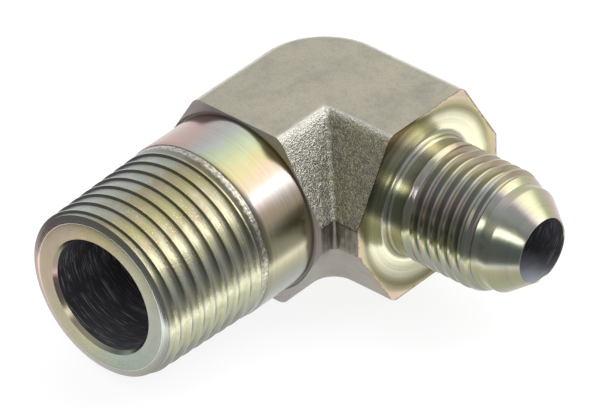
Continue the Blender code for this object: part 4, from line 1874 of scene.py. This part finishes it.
@dataclass
class ElbowAdapter:
    """The whole adapter: one closed mesh that stands for the CAD node."""

    frame: CadFrame
    name: str = "elbow_adapter"

    def pipe_end(self, section: HexSection) -> PipeEnd:
        """Return the pipe end in its finishes.

        Args:
            section: The forged body's section, which the shoulder is faced across.

        Returns:
            The end.
        """
        height = self.frame.bore_height
        return PipeEnd(
            reach=self.frame.pipe_reach,
            section_radius=section.radius(),
            turned_skin=TurnedFinish(
                "turned_pipe_end", 0.23, Arm.PIPE, height, COLLAR_FILM
            ).material(),
            shoulder_skin=TurnedFinish(
                "pipe_shoulder_skin", 0.45, Arm.PIPE, height, PIPE_SHOULDER_FILM, shade=1.25, metal=0.35
            ).material(),
            thread_skin=TurnedFinish(
                "pipe_thread_skin",
                0.24,
                Arm.PIPE,
                height,
                PIPE_THREAD_FILM_AND_HIGHLIGHT,
                shade=0.95,
                ring_depth=0.010 * MM,
                pits=0.9,
                streaks=0.9,
                # Painted glints.
                painted_glints=0.9,
                # Painted light and shade on the flanks.
                painted_flank_shading=0.45,
                torn_from=21.1 * MM,
                torn_to=22.2 * MM,
            ).material(),
            thread_end_skin=TurnedFinish(
                "pipe_chamfer_skin",
                0.16,
                Arm.PIPE,
                height,
                PIPE_CHAMFER_FILM,
                ring_depth=0.03 * MM,
                crest_radius=9.75 * MM,
                crest_film=Film.SMOKE,
            ).material(),
            face_skin=TurnedFinish(
                "pipe_face_skin", 0.26, Arm.PIPE, height, PIPE_FACE_FILM, shade=0.80
            ).material(),
            bore_skin=BoredFinish("pipe_bore_skin", 0.42, Arm.PIPE, height).material(),
        )

    def flare_end(self, section: HexSection) -> FlareEnd:
        """Return the flare end in its finishes.

        Args:
            section: The forged body's section, whose rim is burred where the shoulder is faced.

        Returns:
            The end.
        """
        height = self.frame.bore_height
        turned = TurnedFinish(
            "turned_flare_end", 0.23, Arm.FLARE, height, FLARE_FILM_AND_HIGHLIGHT, FLARE_SHOULDER_FILM_AND_HIGHLIGHT, burred=section
        ).material()
        return FlareEnd(
            reach=self.frame.flare_reach,
            section_radius=section.radius(),
            turned_skin=turned,
            shoulder_skin=turned,
            thread_skin=TurnedFinish(
                "flare_thread_skin",
                0.18,
                Arm.FLARE,
                height,
                FLARE_THREAD_FILM,
                ring_depth=0.005 * MM,
                pits=0.15,
                streaks=1.0,
                crest_radius=7.1 * MM,
                crest_film=Film.PEACH,
            ).material(),
            thread_end_skin=turned,
            bore_skin=BoredFinish(
                "flare_bore_skin",
                0.35,
                Arm.FLARE,
                height,
                # The painted light on the lower wall of the flare bore.
                painted_light_tint=(0.55, 0.58, 0.66),
                painted_light_from=-140.0,
                metal=0.15,
                scratched=0.35,
            ).material(),
        )

    def build(self) -> bpy.types.Object:
        """Build the mesh in the order in which the real part is made.

        Returns:
            Its object, dressed and smooth.
        """
        height = self.frame.bore_height
        forging = ForgedBody(self.frame)
        body = forging.build(
            ForgedFinish("forged_skin", 0.46, height).material(),
            ShearedFinish("sheared_band", 0.42).material(),
        )
        LOG.info("forged body: %d faces", len(body.mesh.polygons))
        section = forging.cross_section()
        ends = (self.pipe_end(section), self.flare_end(section))
        for end in ends:
            body.combine(Cut.REMOVE, end.shoulder_waste().placed(end.arm.placement(height)))
        for end in ends:
            body.combine(Cut.ADD, end.stem().placed(end.arm.placement(height)))
            LOG.info("%s end joined: %d faces", end.arm.value, len(body.mesh.polygons))
        for end in ends:
            body.combine(Cut.REMOVE, end.countersink_waste().placed(end.arm.placement(height)))
        for end in ends:
            body.combine(Cut.REMOVE, end.drill_waste().placed(end.arm.placement(height)))
        item = mesh_object(self.name, body.mesh)
        self._smooth(item)
        return item

    @staticmethod
    def _smooth(item: bpy.types.Object) -> None:
        """Shade the mesh smooth, with its sharp edges kept crisp, and report whether it is closed.

        Args:
            item: The object.
        """
        bm = bmesh.new()
        bm.from_mesh(item.data)
        bmesh.ops.remove_doubles(bm, verts=bm.verts, dist=WELD_DISTANCE)
        open_edges = sum(1 for edge in bm.edges if not edge.is_manifold)
        bmesh.ops.triangulate(bm, faces=[face for face in bm.faces if len(face.verts) > 4])
        for face in bm.faces:
            face.smooth = True
        for edge in bm.edges:
            edge.smooth = edge.is_manifold and edge.calc_face_angle(0.0) < SHARP_EDGE
        triangles = sum(len(face.verts) - 2 for face in bm.faces)
        bm.to_mesh(item.data)
        bm.free()
        LOG.info("%s: %d triangles, %d open edges", item.name, triangles, open_edges)


# Studio


@dataclass(frozen=True)
class PhotoCamera:
    """The photograph's camera, fitted to the adapter's known sizes."""

    azimuth: float = math.radians(132.021)
    elevation: float = math.radians(35.939)
    roll: float = math.radians(-1.603)
    focal_pixels: float = 6438.444
    distance: float = 711.543735 * MM
    crossing_at: Point = (323.294, 144.459)
    frame_pixels: Point = (600.0, 408.0)

    def build(self, bore_height: float) -> bpy.types.Object:
        """Place the camera so that the bores' crossing falls where the photograph has it.

        Args:
            bore_height: Height of the crossing above the floor.

        Returns:
            The camera.
        """
        az, el, roll = self.azimuth, self.elevation, self.roll
        back = Vector((math.sin(az) * math.cos(el), -math.cos(az) * math.cos(el), math.sin(el)))
        level = Vector((math.cos(az), math.sin(az), 0.0))
        upward = back.cross(level)
        right = math.cos(roll) * level + math.sin(roll) * upward
        up = -math.sin(roll) * level + math.cos(roll) * upward
        wide, high = self.frame_pixels
        shift = (self.crossing_at[0] - wide / 2) * self.distance / self.focal_pixels
        rise = (high / 2 - self.crossing_at[1]) * self.distance / self.focal_pixels
        place = Vector((0.0, 0.0, bore_height)) + back * self.distance - right * shift - up * rise
        data = bpy.data.cameras.new("photo_camera")
        data.sensor_width = 36.0
        data.lens = self.focal_pixels / wide * data.sensor_width
        data.clip_start, data.clip_end = 0.05, 20.0
        camera = bpy.data.objects.new("photo_camera", data)
        camera.matrix_world = Matrix(
            (
                (right.x, up.x, back.x, place.x),
                (right.y, up.y, back.y, place.y),
                (right.z, up.z, back.z, place.z),
                (0.0, 0.0, 0.0, 1.0),
            )
        )
        bpy.context.scene.collection.objects.link(camera)
        return camera


@dataclass(frozen=True)
class Softbox:
    """One rectangular lamp, placed by the direction in which the adapter sees it."""

    name: str
    azimuth: float
    elevation: float
    width: float
    height: float
    radiance: float
    distance: float = 0.8

    def build(self, centre: Vector) -> None:
        """Hang the lamp so that it faces the adapter.

        Args:
            centre: What the lamp faces.
        """
        az, el = math.radians(self.azimuth), math.radians(self.elevation)
        towards = Vector((math.cos(az) * math.cos(el), math.sin(az) * math.cos(el), math.sin(el)))
        data = bpy.data.lights.new(self.name, "AREA")
        data.shape = "RECTANGLE"
        data.size, data.size_y = self.width, self.height
        data.energy = self.radiance * math.pi * self.width * self.height
        lamp = bpy.data.objects.new(self.name, data)
        lamp.location = centre + towards * self.distance
        lamp.rotation_mode = "QUATERNION"
        lamp.rotation_quaternion = towards.to_track_quat("Z", "Y")
        lamp.visible_camera = False
        bpy.context.scene.collection.objects.link(lamp)


@dataclass(frozen=True)
class Studio:
    """The pale floor, the white surround and the soft lamps."""

    floor_size: float = 4.0
    floor_end: float = -33.5
    camera_azimuth: float = 42.0
    backdrop_azimuth: float = -160.0
    glow_azimuth: float = 148.0
    glow_elevation: float = 42.0
    glow_edge_azimuth: float = 117.0
    paper_tone: float = 0.25
    paper_glow: float = 0.85
    room_level: float = 0.25
    ceiling_gain: float = 0.45
    backdrop_level: float = 1.2
    glow_level: float = 1.75
    broad_shine: float = 0.45
    edge_shine: float = 1.3
    softboxes: tuple[Softbox, ...] = (
        Softbox("key_strip", 133.5, 32.0, 0.36, 0.095, 3.2),
        Softbox("front_strip", 47.0, 26.0, 0.28, 0.16, 3.2),
    )

    def build(self, centre: Vector) -> None:
        """Build the floor, the world and the lamps.

        Args:
            centre: What the lamps face.
        """
        self._floor()
        self._world()
        for softbox in self.softboxes:
            softbox.build(centre)

    def _floor(self) -> None:
        """Lay the floor, white but for the soft shadow that it keeps."""
        bm = bmesh.new()
        bmesh.ops.create_grid(bm, x_segments=1, y_segments=1, size=self.floor_size / 2)
        mesh = bpy.data.meshes.new("floor")
        bm.to_mesh(mesh)
        bm.free()
        floor = mesh_object("floor", mesh)
        material = bpy.data.materials.new("floor_paper")
        material.use_nodes = True
        tree = material.node_tree
        graph = Graph(tree)
        tree.nodes.remove(tree.nodes["Principled BSDF"])
        paper = graph.node("ShaderNodeBsdfDiffuse")
        paper.inputs["Color"].default_value = (*[self.paper_tone] * 3, 1.0)
        glow = graph.node("ShaderNodeEmission")
        glow.inputs["Strength"].default_value = self.paper_glow
        both = graph.node("ShaderNodeAddShader")
        tree.links.new(paper.outputs[0], both.inputs[0])
        tree.links.new(glow.outputs[0], both.inputs[1])
        tree.links.new(both.outputs[0], tree.nodes["Material Output"].inputs["Surface"])
        mesh.materials.append(material)
        floor.visible_glossy = False

    @staticmethod
    def _towards(
        view: tuple[Field, Field, Field],
        azimuth: float,
        elevation: float = 0.0,
    ) -> Field:
        """Compare a view direction with another direction.

        Args:
            view: The three numbers of the view direction.
            azimuth: The other direction's azimuth, in degrees.
            elevation: Its elevation, in degrees.

        Returns:
            The cosine of the angle between them.
        """
        az, el = math.radians(azimuth), math.radians(elevation)
        x, y, z = view
        return x * (math.cos(az) * math.cos(el)) + y * (math.sin(az) * math.cos(el)) + z * math.sin(el)

    def _world(self) -> None:
        """Paint the surround that the plating mirrors.

        The floor is white and brightest where it ends on the camera's side, the backdrop is white,
        the room on the camera's side is dim, and a broad glow lies round the key softbox. The
        height of a view direction runs from -1, straight down, to 1, straight up.
        """
        world = bpy.data.worlds.new("studio")
        bpy.context.scene.world = world
        world.use_nodes = True
        graph = Graph(world.node_tree)
        surround = world.node_tree.nodes["Background"]
        place = graph.node("ShaderNodeTexCoord")
        view = graph.split(graph.field(place.outputs["Generated"]))
        height = view[2]

        room = self.room_level + height.step(0.30, 0.88) * self.ceiling_gain
        near_side = self._towards(view, self.camera_azimuth).step(-0.5, -0.2)
        low = height.step(0.15, -0.15)
        backdrop = self._towards(view, self.backdrop_azimuth).step(0.0, 0.42)
        level = room + backdrop * (1.0 - near_side * low * 0.5) * (self.backdrop_level - room)

        close = self._towards(view, self.glow_azimuth, self.glow_elevation)
        lobe = graph.math("POWER", ((close - 0.5) / 0.5).clamped(), 2.0)
        past_edge = self._towards(view, self.glow_edge_azimuth + 90.0).step(-0.04, 0.10)
        level = level + lobe * height.step(0.29, 0.42) * past_edge * self.glow_level

        edge = math.sin(math.radians(self.floor_end))
        floor = height.step(edge + 0.012, edge - 0.012)
        broad_shine = height.step(-0.78, -0.62) * self.broad_shine
        shine = (broad_shine + height.step(-0.64, -0.61) * self.edge_shine) * near_side
        level = level + floor * (1.0 + shine - level)

        rays = graph.node("ShaderNodeLightPath")
        camera = graph.field(rays.outputs["Is Camera Ray"])
        graph.plug(surround.inputs["Strength"], level + camera * (1.0 - level))
        surround.inputs["Color"].default_value = (1.0, 1.0, 1.0, 1.0)


def main() -> None:
    """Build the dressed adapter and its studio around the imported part."""
    logging.basicConfig(level=logging.INFO, format="%(name)s: %(message)s")
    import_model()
    frame = CadFrame.read()

    scene = bpy.context.scene
    scene.view_settings.view_transform = "Standard"
    scene.camera = PhotoCamera().build(frame.bore_height)

    adapter = ElbowAdapter(frame).build()
    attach(adapter, CAD_BODY)
    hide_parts(CAD_NODE)
    LOG.info("%s rides on %s and stands for %s", adapter.name, CAD_BODY, CAD_NODE)

    Studio().build(Vector((0.0, 0.0, frame.bore_height)))


if __name__ == "__main__":
    main()
